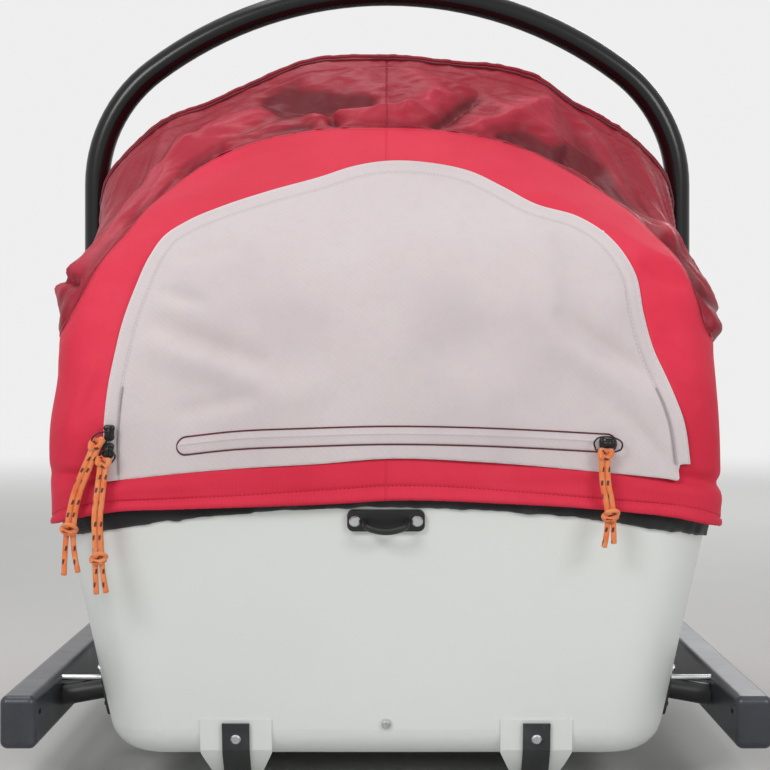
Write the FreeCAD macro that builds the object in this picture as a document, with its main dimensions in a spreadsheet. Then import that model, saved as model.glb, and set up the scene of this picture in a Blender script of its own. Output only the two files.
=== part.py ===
import FreeCAD, Part
import functools
import math
import os
import types
import Sketcher
from FreeCAD import Placement, Rotation, Vector

# Child carrier pulk, built in millimetres.
# X runs to the right seen from behind, Y forward to the bow, Z up from the snow.

doc = FreeCAD.newDocument("pulk_sled")

# Driving sizes, each written once and kept in the spreadsheet
SIZES = {
    # hull
    "rearY": -592.0,            # transom at its upper edge
    "bowTipY": 596.0,           # foremost point of the hull at the rim
    "floorZ": 30.0,             # underside of the flat bottom
    "floorHalfWidth": 223.5,    # half the width at the floor
    "sideDraft": 0.187,         # outward lean of the sides, per mm of height
    "transomLean": 0.2115,      # rearward lean of the transom, per mm of height
    "bowRake": 276.0,           # how far the bow's foot lies behind its tip
    "bowStartY": -150.0,        # where the plan starts to narrow
    "cornerRound": 50.0,        # plan corners at the transom
    "bilgeRound": 30.0,         # floor to side
    "wall": 4.0,
    "crownZ": 235.0,            # lower edge of the rim trim in the middle of the transom
    "crownDrop": 26.0,          # how much lower that edge is at the corners
    "hullAboveCrown": 12.0,     # hull wall hidden in the trim
    # runners
    "keelX": 121.0,
    "keelHalfTop": 28.8,
    "keelHalfFoot": 15.0,
    "keelHeelRound": 28.0,
    "keelLiftY": 40.0,          # where the runners start to rise to the bow
    "keelLiftRound": 740.0,
    "keelTopZ": 62.0,
    "stripWide": 22.0,
    "stripThick": 2.8,
    "stripTopZ": 59.0,
    "stripFrontY": 262.0,
    "stripScrewZ": 47.0,
    # rim trim
    "trimOut": 3.5,
    "trimIn": 2.5,
    "trimHigh": 16.0,
    # canopy
    "clothThick": 3.0,
    "clothHalfWidth": 267.0,
    "fanY": -300.0,             # axis that the rear dome fans out from
    "fanZ": 100.0,
    "fanFoot": 55.0,            # where the dome's side walls start, out from that axis
    "hemZ": 240.0,              # lower edge of the cloth in the middle of the transom
    "hemDrop": 20.0,
    "seamTopY": -400.0,         # seam between the body cloth and the hood, at the top
    "seamTopZ": 556.0,
    "seamLean": 0.67,
    "hoodSideZ": 350.0,         # lower edge of the hood on the sides
    "cornerLow": 40.0,          # cloth corner at the rim
    "cornerHigh": 58.0,         # cloth corner at the front bow
    "crownFlat": 1.6,
    "crownHigh": 82.4,
    "crownStart": 34.0,         # fan angle where the flat rear starts to dome
    "windowHalfWidth": 175.0,
    "windowRearY": -225.0,
    "windowFrontY": 60.0,
    # bows inside the canopy
    "bowRod": 4.5,
    "bowSocket": 7.0,
    "bowSocketHigh": 34.0,
    "bowFootX": 246.0,
    "bowFootZ": 214.0,
    "rearBowAngle": 66.0,
    "frontBowAngle": 89.9,
    # grey panel and its pocket
    "panelThick": 2.0,
    "panelHalfWidth": 224.0,
    "panelFootZ": 257.0,
    "panelFootRise": 16.0,
    "panelShoulderX": 198.0,
    "panelShoulderZ": 436.0,
    "panelTopZ": 520.0,
    "zipWide": 14.0,
    "coilWide": 5.0,
    "pocketZ": 287.0,
    "pocketHalfLong": 168.0,
    "sideZipX": 219.0,
    "sideZipFootZ": 262.0,
    "sideZipTopZ": 345.0,
    "pipingRound": 1.8,
    # tow eye, drain and small screws
    "eyeWide": 61.0,
    "eyeHigh": 17.0,
    "eyeThick": 4.0,
    "eyeRound": 5.0,
    "eyeZ": 225.5,
    "eyeLoopHalf": 17.0,
    "eyeLoopRod": 2.6,
    "eyeLoopOut": 15.0,
    "eyeScrewX": 24.5,
    "screwHead": 4.5,
    "drainZ": 58.5,
    "drainWasher": 4.6,
    "drainHead": 3.4,
    "drainBore": 2.6,
    # side arms
    "armX": 276.0,              # inner face
    "armWide": 29.0,
    "armHigh": 42.0,
    "armFootZ": 44.0,
    "armRearY": -588.0,
    "armFrontY": -60.0,
    "armWall": 2.5,
    "armRound": 6.0,
    "socketBore": 9.5,
    "socketWall": 2.3,
    "socketLong": 95.0,
    # arm brackets
    "pivotY": -462.0,
    "pivotZ": 66.0,
    "pivotPin": 5.0,
    "pivotClear": 0.3,
    "sleeveRound": 9.2,
    "sleeveRootRound": 8.0,
    "sleeveDroop": 9.0,         # degrees
    "stopRod": 2.5,
    "stopHigh": 14.5,           # stop rod above the pivot
    "armSwing": 9.0,            # degrees
    # roll bar
    "barY": -219.0,
    "barTube": 12.0,
    "barHalfWidth": 284.0,
    "barSpringZ": 522.5,
    "barRise": 188.0,
    "barCornerRound": 140.0,
    "barCrownRound": 380.0,
    "barFootX": 261.0,
    "barPivotZ": 110.0,
    "barPivotPin": 5.0,
    "barEyeRound": 17.0,
    "barEyeHalf": 10.5,
    "barSleeveRound": 13.4,
    "barSleeveTopZ": 140.0,
    # seat
    "seatHalfWidth": 145.0,
    "seatFrontY": -30.0,
    "seatRearY": -322.0,
    "seatTopRearY": -415.0,
    "seatTopZ": 440.0,
    "seatBoard": 6.0,
    "cushionThick": 42.0,
    "cushionMargin": 8.0,
    "strapWide": 25.0,
    "strapThick": 2.0,
    # sliders and pulls
    "sliderWide": 10.0,
    "sliderLong": 14.0,
    "sliderThick": 3.4,
    "cordRound": 2.0,
    "strandApart": 2.25,
    "knotRound": 6.2,
    "gap": 0.3,                 # running clearance between pieces
}

sheet = doc.addObject("Spreadsheet::Sheet", "Sizes")
for row, (name, value) in enumerate(SIZES.items(), start=1):
    sheet.set(f"A{row}", name)
    sheet.set(f"B{row}", str(value))
    sheet.setAlias(f"B{row}", name)
doc.recompute()
d = types.SimpleNamespace(**{name: float(sheet.get(name)) for name in SIZES})

nodes = []      # finished sub-parts, in the order they are written out
BIG = 2000.0    # reach of cutting solids
CORD_SIDES = 8


# Small helpers

def keep(piece, label):
    """Name a finished sub-part and put it on the list."""
    piece.Label = label
    nodes.append(piece)
    return piece


def shaped(label, shape, at=None):
    """A sub-part whose form is worked out here."""
    piece = doc.addObject("Part::Feature", label)
    piece.Shape = shape
    if at is not None:
        piece.Placement = at
    return keep(piece, label)


def bind(piece, **rules):
    """Tie properties of a document object to sizes in the sheet."""
    for prop, rule in rules.items():
        piece.setExpression(prop, rule)
    return piece


def primitive(kind, name, at=None, **rules):
    piece = doc.addObject(kind, name)
    bind(piece, **rules)
    if at is not None:
        piece.Placement = at
    return piece


def boolean(kind, name, base, tool):
    piece = doc.addObject(kind, name)
    piece.Base = base
    piece.Tool = tool
    return piece


def place(x, y, z, axis=Vector(0, 0, 1), angle=0.0):
    return Placement(Vector(x, y, z), Rotation(axis, angle))


def sketch_outline(body, name, role, points):
    """A closed outline whose corners are held by expressions."""
    sketch = body.newObject("Sketcher::SketchObject", name)
    plane = [o for o in body.Origin.OriginFeatures if o.Role == role][0]
    sketch.AttachmentSupport = [(plane, "")]
    sketch.MapMode = "FlatFace"
    rough = [tuple(value_of(rule) for rule in point) for point in points]
    count = len(points)
    for i in range(count):
        a, b = rough[i], rough[(i + 1) % count]
        sketch.addGeometry(Part.LineSegment(Vector(*a, 0), Vector(*b, 0)), False)
    for i in range(count):
        sketch.addConstraint(Sketcher.Constraint("Coincident", i, 2, (i + 1) % count, 1))
    for i, point in enumerate(points):
        for kind, letter, rule, first in zip(("DistanceX", "DistanceY"), "XY", point, rough[i]):
            number = sketch.addConstraint(Sketcher.Constraint(kind, i, 1, first))
            sketch.renameConstraint(number, f"corner{i}{letter}")
            sketch.setExpression(f"Constraints.corner{i}{letter}", rule)
    return sketch


def value_of(rule):
    """First value of an expression made of sums of sizes and numbers."""
    total = 0.0
    for term in rule.replace("- ", "+ -").split("+ "):
        sign = -1.0 if term.strip().startswith("-") else 1.0
        product = 1.0
        for factor in term.strip().lstrip("-").split("*"):
            word = factor.strip()
            product *= getattr(d, word[6:]) if word.startswith("Sizes.") else float(word)
        total += sign * product
    return total


def padded_body(label, role, points, length, both_ways=False, at=None):
    """A PartDesign body with one sketch and one pad."""
    body = doc.addObject("PartDesign::Body", label)
    sketch = sketch_outline(body, label + "_sketch", role, points)
    pad = body.newObject("PartDesign::Pad", label + "_pad")
    pad.Profile = sketch
    pad.Midplane = both_ways
    pad.setExpression("Length", length)
    if at is not None:
        body.Placement = at
    doc.recompute()
    return body, pad


def round_edges(body, base, radius, wanted):
    """Fillet the edges of a body's last feature that a test picks."""
    names = [f"Edge{i}" for i, edge in enumerate(base.Shape.Edges, start=1) if wanted(edge)]
    fillet = body.newObject("PartDesign::Fillet", body.Label + "_round")
    fillet.Base = (base, names)
    fillet.setExpression("Radius", radius)
    doc.recompute()
    return fillet


def runs_along(edge, direction):
    first, last = edge.Vertexes[0].Point, edge.Vertexes[-1].Point
    reach = last - first
    return reach.Length > 1e-6 and abs(abs(reach.dot(direction)) - reach.Length) < 1e-6


def rounded_path(points, radii):
    """Straight runs joined by tangent arcs, one radius for each inner point."""
    edges = []
    start = points[0]
    for before, corner, after, radius in zip(points, points[1:], points[2:], radii):
        coming = (corner - before).normalize()
        leaving = (after - corner).normalize()
        half = coming.getAngle(leaving) / 2
        back = radius * math.tan(half)
        inward = (leaving - coming).normalize()
        middle = corner + inward * (radius / math.cos(half) - radius)
        arc_start = corner - coming * back
        arc_end = corner + leaving * back
        edges.append(Part.LineSegment(start, arc_start).toShape())
        edges.append(Part.Arc(arc_start, middle, arc_end).toShape())
        start = arc_end
    edges.append(Part.LineSegment(start, points[-1]).toShape())
    return Part.Wire(edges)


def cord_radii(points):
    """Largest arcs that a cord's runs allow."""
    radii = []
    for before, corner, after in zip(points, points[1:], points[2:]):
        coming, leaving = corner - before, after - corner
        shorter = min(coming.Length, leaving.Length)
        radii.append(0.45 * shorter / math.tan(coming.getAngle(leaving) / 2))
    return radii


def tube_along(path, radius, sides=0):
    """A bar along a wire, round or with a number of flat sides."""
    edge = path.Edges[0]
    start = edge.valueAt(edge.FirstParameter)
    along = edge.tangentAt(edge.FirstParameter)
    if sides:
        across = along.cross(Vector(0, 1, 0.01)).normalize() * radius
        turn = Rotation(along, 360.0 / sides)
        corners = []
        for _ in range(sides):
            corners.append(start + across)
            across = turn.multVec(across)
        ring = Part.makePolygon(corners + [corners[0]])
        return path.makePipeShell([ring], True, False)
    # a cylinder for each straight run and a piece of a torus for each arc
    parts = []
    for edge in path.Edges:
        spot, along = edge.valueAt(edge.FirstParameter), edge.tangentAt(edge.FirstParameter)
        disc = Part.Face(Part.Wire([Part.Circle(spot, along, radius).toShape()]))
        if isinstance(edge.Curve, Part.Circle):
            angle = math.degrees(edge.LastParameter - edge.FirstParameter)
            parts.append(disc.revolve(edge.Curve.Center, edge.Curve.Axis, angle))
        else:
            parts.append(disc.extrude(edge.valueAt(edge.LastParameter) - spot))
    return parts[0].fuse(parts[1:]).removeSplitter()


def smooth_loft(wires):
    """A solid through like wires, held to cubic curves so that it can't ripple."""
    return Part.makeLoft(wires, True, False, False, 3)


def prism(corners, direction):
    """A solid pulled from a closed run of corner points."""
    wire = Part.makePolygon(corners + [corners[0]])
    return Part.Face(wire).extrude(direction)


def cylinder(x, y, z, radius, length, axis=Vector(1, 0, 0)):
    return Part.makeCylinder(radius, length, Vector(x, y, z), axis)


def mirrored(shape):
    """The same form on the other side."""
    return shape.mirror(Vector(0, 0, 0), Vector(1, 0, 0))


def rearmost(piece):
    """How far back a piece reaches."""
    return piece.Shape.optimalBoundingBox(False, False).YMin


# Hull form

LEVELS = (60.0, 100.0, 150.0, 200.0, 268.0)     # heights of the plan contours


def side_at(z):
    return d.floorHalfWidth + d.sideDraft * (z - d.floorZ)


def rear_at(z):
    top = d.crownZ
    return d.rearY + d.transomLean * (top - z)


LEAN = math.degrees(math.atan(d.transomLean))


def on_transom(x, z, proud=0.0):
    """Placement on the transom's outer face, with local Z along its outward normal."""
    spot = Vector(x, rear_at(z), z)
    turned = Rotation(Vector(1, 0, 0), 90 + LEAN)
    return Placement(spot + turned.multVec(Vector(0, 0, proud)), turned)


def bow_at(z):
    """Bow profile: nearly upright at the rim and swept back towards the floor."""
    drop = (LEVELS[-1] - z) / (LEVELS[-1] - d.floorZ)
    return d.bowTipY + 8.0 - d.bowRake * drop ** 2.4


def half_width(y, z, grow=0.0):
    """Half the plan width at a station, blunt and round at the bow."""
    side = side_at(z) + grow
    reach = (y - d.bowStartY) / (bow_at(z) + grow - d.bowStartY)
    return side * (1.0 - max(reach, 0.0) ** 2.5) ** 0.6


def plan_outline(z, grow=0.0):
    """Closed plan contour: transom, two round corners, sides and bow."""
    side = side_at(z) + grow
    rear = rear_at(z) - grow
    tip = bow_at(z) + grow
    corner = d.cornerRound + grow
    shares = (0.0, 0.25, 0.5, 0.7, 0.85, 0.95)
    bow = []
    for share in shares:
        y = d.bowStartY + share * (tip - d.bowStartY)
        bow.append(Vector(half_width(y, z, grow), y, z))
    across = [Vector(-p.x, p.y, z) for p in reversed(bow)]
    curve = Part.BSplineCurve()
    curve.interpolate(Points=bow + [Vector(0, tip, z)] + across,
                      InitialTangent=Vector(0, 1, 0), FinalTangent=Vector(0, -1, 0))
    slant = corner * math.sqrt(0.5)
    edges = [curve.toShape()]
    left, right = -side + corner, side - corner
    turn_y = rear + corner
    edges.append(Part.LineSegment(across[-1], Vector(-side, turn_y, z)).toShape())
    edges.append(Part.Arc(Vector(-side, turn_y, z), Vector(left - slant, turn_y - slant, z),
                          Vector(left, rear, z)).toShape())
    edges.append(Part.LineSegment(Vector(left, rear, z), Vector(right, rear, z)).toShape())
    edges.append(Part.Arc(Vector(right, rear, z), Vector(right + slant, turn_y - slant, z),
                          Vector(side, turn_y, z)).toShape())
    edges.append(Part.LineSegment(Vector(side, turn_y, z), bow[0]).toShape())
    return Part.Wire(edges)


@functools.lru_cache(maxsize=None)
def tub(grow, low):
    """Solid of the hull's form, grown outwards, from a level up."""
    rows = [low] + [z for z in LEVELS if z > low + 5.0]
    return smooth_loft([plan_outline(z, grow) for z in rows])


def tub_with_bilge(grow, low):
    """The same with its floor edge rounded."""
    solid = tub(grow, low)
    flat = [f for f in solid.Faces if f.BoundBox.ZLength < 0.01]
    floor = min(flat, key=lambda f: abs(f.BoundBox.ZMin - low))
    return solid.makeFillet(d.bilgeRound + grow, floor.Edges)


def crown_line(offset, drop, top, reach=340.0, half=260.0):
    """Arc across the sled, highest in the middle."""
    radius = (half ** 2 + drop ** 2) / (2 * drop)
    end = top + offset - (radius - math.sqrt(radius ** 2 - reach ** 2))
    return [Vector(-reach, -BIG / 2, end), Vector(0, -BIG / 2, top + offset), Vector(reach, -BIG / 2, end)]


def below_arc(offset, drop, top):
    """Everything under a crowned line."""
    left, middle, right = crown_line(offset, drop, top)
    low_left, low_right = Vector(left.x, left.y, -400), Vector(right.x, right.y, -400)
    wire = Part.Wire([
        Part.Arc(left, middle, right).toShape(),
        Part.makeLine(right, low_right),
        Part.makeLine(low_right, low_left),
        Part.makeLine(low_left, left),
    ])
    return Part.Face(wire).extrude(Vector(0, BIG, 0))


def below_crown(offset):
    return below_arc(offset, d.crownDrop, d.crownZ)


def keel_side(grow):
    """Side outline of a runner, round at the heel and rising to the bow."""
    lean = d.transomLean
    proud = 1.5 + grow
    foot = d.stripThick - grow
    top = d.keelTopZ
    heel = d.keelHeelRound + grow
    tilt = math.atan(lean)
    foot_rear = rear_at(foot) - proud
    back = heel * math.tan((math.pi / 2 + tilt) / 2)
    low_start = Vector(0, foot_rear + back, foot)
    high_end = Vector(0, foot_rear - back * math.sin(tilt), foot + back * math.cos(tilt))
    centre = Vector(0, low_start.y, foot + heel)
    toward = (high_end - centre) + (low_start - centre)
    middle = centre + toward.normalize() * heel
    top_rear = Vector(0, rear_at(top) - proud, top)
    lift = d.keelLiftRound + grow
    lift_start = Vector(0, d.keelLiftY, foot)
    angle = math.acos(1 - (top - foot) / lift)
    lift_mid = Vector(0, d.keelLiftY + lift * math.sin(angle / 2), foot + lift * (1 - math.cos(angle / 2)))
    lift_end = Vector(0, d.keelLiftY + lift * math.sin(angle), top)
    return Part.Wire([
        Part.makeLine(top_rear, high_end),
        Part.Arc(high_end, middle, low_start).toShape(),
        Part.makeLine(low_start, lift_start),
        Part.Arc(lift_start, lift_mid, lift_end).toShape(),
        Part.makeLine(lift_end, top_rear),
    ])


def keel(side, grow):
    """One moulded runner, tapered to its foot."""
    centre = side * d.keelX
    top, foot = d.keelTopZ + 20.0, d.stripThick - grow
    slope = (d.keelHalfTop - d.keelHalfFoot) / (34.0 - d.stripThick)
    half_foot = d.keelHalfFoot + grow
    shoulder = d.floorZ + d.wall
    half_top = half_foot + slope * (shoulder - foot)
    section = prism([
        Vector(centre - half_foot, -BIG / 2, foot), Vector(centre + half_foot, -BIG / 2, foot),
        Vector(centre + half_top, -BIG / 2, shoulder), Vector(centre + half_top, -BIG / 2, top),
        Vector(centre - half_top, -BIG / 2, top), Vector(centre - half_top, -BIG / 2, shoulder),
    ], Vector(0, BIG, 0))
    side_face = Part.Face(keel_side(grow))
    side_face.translate(Vector(centre - 60, 0, 0))
    runner = section.common(side_face.extrude(Vector(120, 0, 0)))
    # kept inside the hull's own plan, so that it fades out under the bow
    plan = plan_outline(d.keelTopZ, grow - 1.0)
    plan.translate(Vector(0, 0, -d.keelTopZ))
    room = Part.Face(plan).extrude(Vector(0, 0, d.keelTopZ + 1.0))
    heel = Part.makeBox(BIG, BIG, BIG, Vector(-BIG / 2, -BIG - 200.0, -BIG / 2))
    return runner.common(room.fuse(heel))


def make_hull():
    outer = tub_with_bilge(0.0, d.floorZ)
    inner = tub_with_bilge(-d.wall, d.floorZ + d.wall)
    for side in (-1, 1):
        outer = outer.fuse(keel(side, 0.0))
    for side in (-1, 1):
        channel = keel(side, -d.wall)
        inner = inner.fuse(channel)
    shell = outer.cut(inner).common(below_crown(d.hullAboveCrown))
    drain = Part.makeCylinder(d.drainBore, 40.0, Vector(0, 0, -20))
    drain.Placement = on_transom(0, d.drainZ)
    solids = shell.cut(drain).removeSplitter().Solids
    return max(solids, key=lambda s: s.Volume)


def make_trim(hull):
    outside = tub(d.trimOut, 150.0)
    inside = tub(-d.wall - d.trimIn, 150.0)
    band = outside.cut(inside).common(below_crown(d.trimHigh)).cut(below_crown(0.0))
    return band.cut(hull)


def make_strip(side):
    """Wear strip under a runner, turned up round its heel."""
    outer = Part.Face(keel_side(d.stripThick))
    inner = Part.Face(keel_side(0.0))
    band = outer.cut(inner)
    band.translate(Vector(side * d.keelX - d.stripWide / 2, 0, 0))
    strip = band.extrude(Vector(d.stripWide, 0, 0))
    window = Part.makeBox(200, BIG, d.stripTopZ + 1.0, Vector(side * d.keelX - 100, -BIG + d.stripFrontY, -1))
    return max(strip.common(window).cut(hull_shape).Solids, key=lambda s: s.Volume)


hull_shape = make_hull()
shaped("hull", hull_shape)
trim_shape = make_trim(hull_shape)
shaped("rim_trim", trim_shape)
strip_left = shaped("runner_strip_left", make_strip(-1))
strip_right = shaped("runner_strip_right", make_strip(1))

def pan_screw(radius, high, shank, long):
    """Pan head on a plain shank, head upwards from its seat."""
    rim = 0.45 * high
    corners = [Vector(0, 0, -long), Vector(shank, 0, -long), Vector(shank, 0, 0), Vector(radius, 0, 0),
               Vector(radius, 0, rim), Vector(radius - 0.5 * high, 0, high), Vector(0, 0, high)]
    half = Part.Face(Part.makePolygon(corners + [corners[0]]))
    return half.revolve(Vector(0, 0, 0), Vector(0, 0, 1), 360)


def placed(shape, spots):
    """A copy of a form at each spot."""
    copies = []
    for spot in spots:
        one = shape.copy()
        one.Placement = spot
        copies.append(one)
    return copies


def drilled(piece, places, radius, depth=12.0):
    """Clearance holes through a finished piece where its screws go."""
    holes = []
    for spot in places:
        hole = Part.makeCylinder(radius, depth, Vector(0, 0, -depth / 2 - 2))
        hole.Placement = spot
        holes.append(hole)
    piece.Shape = piece.Shape.cut(Part.makeCompound(holes))


# Tow eye at the top of the transom
eye_at = on_transom(0, d.eyeZ)
eye_body, eye_pad = padded_body("tow_eye_plate", "XY_Plane", [
    ("-0.5 * Sizes.eyeWide", "-0.5 * Sizes.eyeHigh"), ("0.5 * Sizes.eyeWide", "-0.5 * Sizes.eyeHigh"),
    ("0.5 * Sizes.eyeWide", "0.5 * Sizes.eyeHigh"), ("-0.5 * Sizes.eyeWide", "0.5 * Sizes.eyeHigh"),
], "Sizes.eyeThick", at=eye_at)
round_edges(eye_body, eye_pad, "Sizes.eyeRound", lambda e: runs_along(e, Vector(0, 0, 1)))
loop_root = d.eyeThick - 1.5
loop_path = rounded_path([
    Vector(-d.eyeLoopHalf, 0, loop_root), Vector(-d.eyeLoopHalf + 1.5, -2.0, d.eyeLoopOut),
    Vector(0, -6.0, d.eyeLoopOut + 3.5),
    Vector(d.eyeLoopHalf - 1.5, -2.0, d.eyeLoopOut), Vector(d.eyeLoopHalf, 0, loop_root),
], [6.0, 30.0, 6.0])
loop = doc.addObject("Part::Feature", "tow_eye_loop")
loop.Shape = tube_along(loop_path, d.eyeLoopRod, 8)
loop.Placement = eye_at
doc.recompute()
eye = boolean("Part::Fuse", "tow_eye_blank", eye_body, loop)
eye_screws = [on_transom(side * d.eyeScrewX, d.eyeZ, d.eyeThick) for side in (-1, 1)]
holes = doc.addObject("Part::Feature", "tow_eye_holes")
holes.Shape = Part.makeCompound([
    Part.makeCylinder(2.0, 20, Vector(0, 0, -10)).transformGeometry(spot.toMatrix()) for spot in eye_screws])
doc.recompute()
keep(boolean("Part::Cut", "tow_eye", eye, holes), "tow_eye")

# Drain screw with its washer, low in the middle of the transom
washer_thick = 1.4
washer = Part.makeCylinder(d.drainWasher, washer_thick).cut(Part.makeCylinder(d.drainBore, washer_thick))
shaped("drain_washer", washer, on_transom(0, d.drainZ))

# Screws on the transom: tow eye, drain and wear strips
strip_out = (1.5 + d.stripThick) * math.cos(math.radians(LEAN))
strip_screws = [on_transom(side * d.keelX, d.stripScrewZ, strip_out) for side in (-1, 1)]
for strip in (strip_left, strip_right):
    drilled(strip, strip_screws, 1.9)
screws = placed(pan_screw(d.screwHead, 2.4, 1.8, d.eyeThick), eye_screws)
screws += placed(pan_screw(d.drainHead, 2.0, d.drainBore - 0.2, 6.0), [on_transom(0, d.drainZ, washer_thick)])
screws += placed(pan_screw(4.2, 2.2, 1.8, 0.6 * d.stripThick), strip_screws)
shaped("transom_screws", Part.makeCompound(screws))


# Canopy form

FAN_PROFILE = (     # rear outline of the dome, from under the rim to the front bow
    (-601.5, 190.0), (-601.5, 245.0), (-600.5, 305.0), (-586.0, 370.0),
    (-549.0, 443.0), (-488.0, 501.0), (-400.0, 556.0), (-300.0, 637.0))


def arch_wire(reach, half, rise, corner, foot, plane):
    """Three-centred arch on straight legs, drawn in a plane as outline points."""
    spring = reach - rise
    crown = ((half - corner) ** 2 + rise ** 2 - corner ** 2) / (2 * (rise - corner))
    centre = Vector(half - corner, spring, 0)
    hub = Vector(0, reach - crown, 0)
    out = (centre - hub).normalize()
    meet = centre + out * corner
    lean = (out + Vector(1, 0, 0)).normalize()
    bend = centre + lean * corner
    right = [Vector(half, foot, 0), Vector(half, spring, 0), bend, meet]
    left = [Vector(-p.x, p.y, 0) for p in right]
    top = Vector(0, reach, 0)
    right = [plane(p) for p in right]
    left = [plane(p) for p in left]
    top = plane(top)
    return right, left, top


def arch_edges(right, left, top):
    return [
        Part.makeLine(right[0], right[1]),
        Part.Arc(right[1], right[2], right[3]).toShape(),
        Part.Arc(right[3], top, left[3]).toShape(),
        Part.Arc(left[3], left[2], left[1]).toShape(),
        Part.makeLine(left[1], left[0]),
    ]


def fan_plane(angle):
    """Plane through the fan axis, raised from the rear by an angle."""
    turn = math.radians(angle)

    def point(p):
        return Vector(p.x, d.fanY - p.y * math.cos(turn), d.fanZ + p.y * math.sin(turn))
    return point


def fan_sizes(angle, low):
    """Rise and corner radius of the dome's arch at a fan angle."""
    share = max(0.0, angle - low) / (90.0 - low)
    doming = max(0.0, angle - d.crownStart) / (90.0 - d.crownStart)
    corner = d.cornerLow + (d.cornerHigh - d.cornerLow) * share ** 2
    return corner + d.crownFlat + d.crownHigh * doming ** 1.2, corner


def fan_station(y, z):
    reach = math.hypot(y - d.fanY, z - d.fanZ)
    return math.degrees(math.atan2(z - d.fanZ, d.fanY - y)), reach


@functools.lru_cache(maxsize=None)
def fan_loft(grow):
    """Solid under the dome, grown outwards."""
    stations = [fan_station(y, z) for y, z in FAN_PROFILE]
    low = stations[0][0]
    wires = []
    for angle, reach in stations:
        rise, corner = fan_sizes(angle, low)
        right, left, top = arch_wire(reach + grow, d.clothHalfWidth + grow, rise + grow, corner + grow,
                                     d.fanFoot, fan_plane(angle))
        edges = arch_edges(right, left, top)
        edges.append(Part.makeLine(left[0], right[0]))
        wires.append(Part.Wire(edges))
    return smooth_loft(wires)


def front_sizes(y):
    """Top height, rise and corner radius of the front cover at a station."""
    start, end = d.fanY, d.bowTipY
    share = (y - start) / (end - start)
    rise, corner = fan_sizes(90.0, 20.0)
    top = FAN_PROFILE[-1][1]
    if share < 0.72:
        height = top - (top - 292.0) * (share / 0.72) ** 1.12
    else:
        height = 292.0 - (292.0 - 262.0) * (share - 0.72) / 0.28
    fade = 1.0 - share
    return height, 14.0 + (rise - 14.0) * fade, 10.0 + (corner - 10.0) * fade


@functools.lru_cache(maxsize=None)
def roof_loft(grow):
    """Solid under the sloping front cover, wider than the hull."""
    wires = []
    span = d.bowTipY - d.fanY
    for share in (0.0, 0.2, 0.4, 0.6, 0.72, 0.85, 1.0, 1.1):
        y = d.fanY + share * span
        height, rise, corner = front_sizes(min(y, d.bowTipY))
        half = d.clothHalfWidth + 0.4 * share

        def plane(p, y=y):
            return Vector(p.x, y, p.y)
        right, left, top = arch_wire(height + grow, half + grow, rise + grow, corner + grow, 150.0, plane)
        edges = arch_edges(right, left, top)
        edges.append(Part.makeLine(left[0], right[0]))
        wires.append(Part.Wire(edges))
    return smooth_loft(wires)


def front_solid(grow):
    """Front cover: the roof over a wall that follows the rim."""
    outline = plan_outline(228.0, d.clothHalfWidth - side_at(228.0) + grow)
    outline.translate(Vector(0, 0, 150.0 - 228.0))
    wall = Part.Face(outline).extrude(Vector(0, 0, 600))
    block = roof_loft(grow).common(wall)
    return block.common(Part.makeBox(BIG, BIG, BIG, Vector(-BIG / 2, d.fanY, 0)))


def half_space(y, z, lean, forward):
    """Everything ahead of, or behind, a leaning plane across the sled."""
    low = Vector(-BIG / 2, y - lean * BIG, z - BIG)
    high = Vector(-BIG / 2, y + lean * BIG, z + BIG)
    shift = Vector(0, BIG if forward else -BIG, 0)
    return prism([low, high, high + shift, low + shift], Vector(BIG, 0, 0))


thick = d.clothThick
above_hem = below_arc(0.0, d.hemDrop, d.hemZ)
trim_room = tub(d.trimOut + d.gap, 150.0).common(below_crown(d.trimHigh + d.gap))
dome_outer = fan_loft(0.0)
dome = dome_outer.cut(fan_loft(-thick)).cut(above_hem).cut(trim_room)
hood_room = half_space(d.seamTopY, d.seamTopZ, d.seamLean, True).common(
    Part.makeBox(BIG, BIG, BIG, Vector(-BIG / 2, -BIG / 2, d.hoodSideZ)))
hood = dome.common(hood_room)
rear_cloth = dome.cut(hood_room)
front_cloth = front_solid(0.0).cut(front_solid(-thick)).cut(above_hem).cut(trim_room)

window_frame = prism([
    Vector(-d.windowHalfWidth, d.windowRearY, 0), Vector(d.windowHalfWidth, d.windowRearY, 0),
    Vector(d.windowHalfWidth - 25, d.windowFrontY, 0), Vector(-d.windowHalfWidth + 25, d.windowFrontY, 0),
], Vector(0, 0, BIG))
upright_edges = [e for e in window_frame.Edges if runs_along(e, Vector(0, 0, 1))]
window_frame = window_frame.makeFillet(22.0, upright_edges)
upper = Part.makeBox(BIG, BIG, BIG, Vector(-BIG / 2, -BIG / 2, 330))
window_frame = window_frame.common(upper)
pane = roof_loft(-0.9).cut(roof_loft(-2.1)).common(window_frame)

shaped("canopy_rear", rear_cloth)
shaped("canopy_hood", hood)
shaped("canopy_front", front_cloth.cut(window_frame))
shaped("window", pane)


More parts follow.
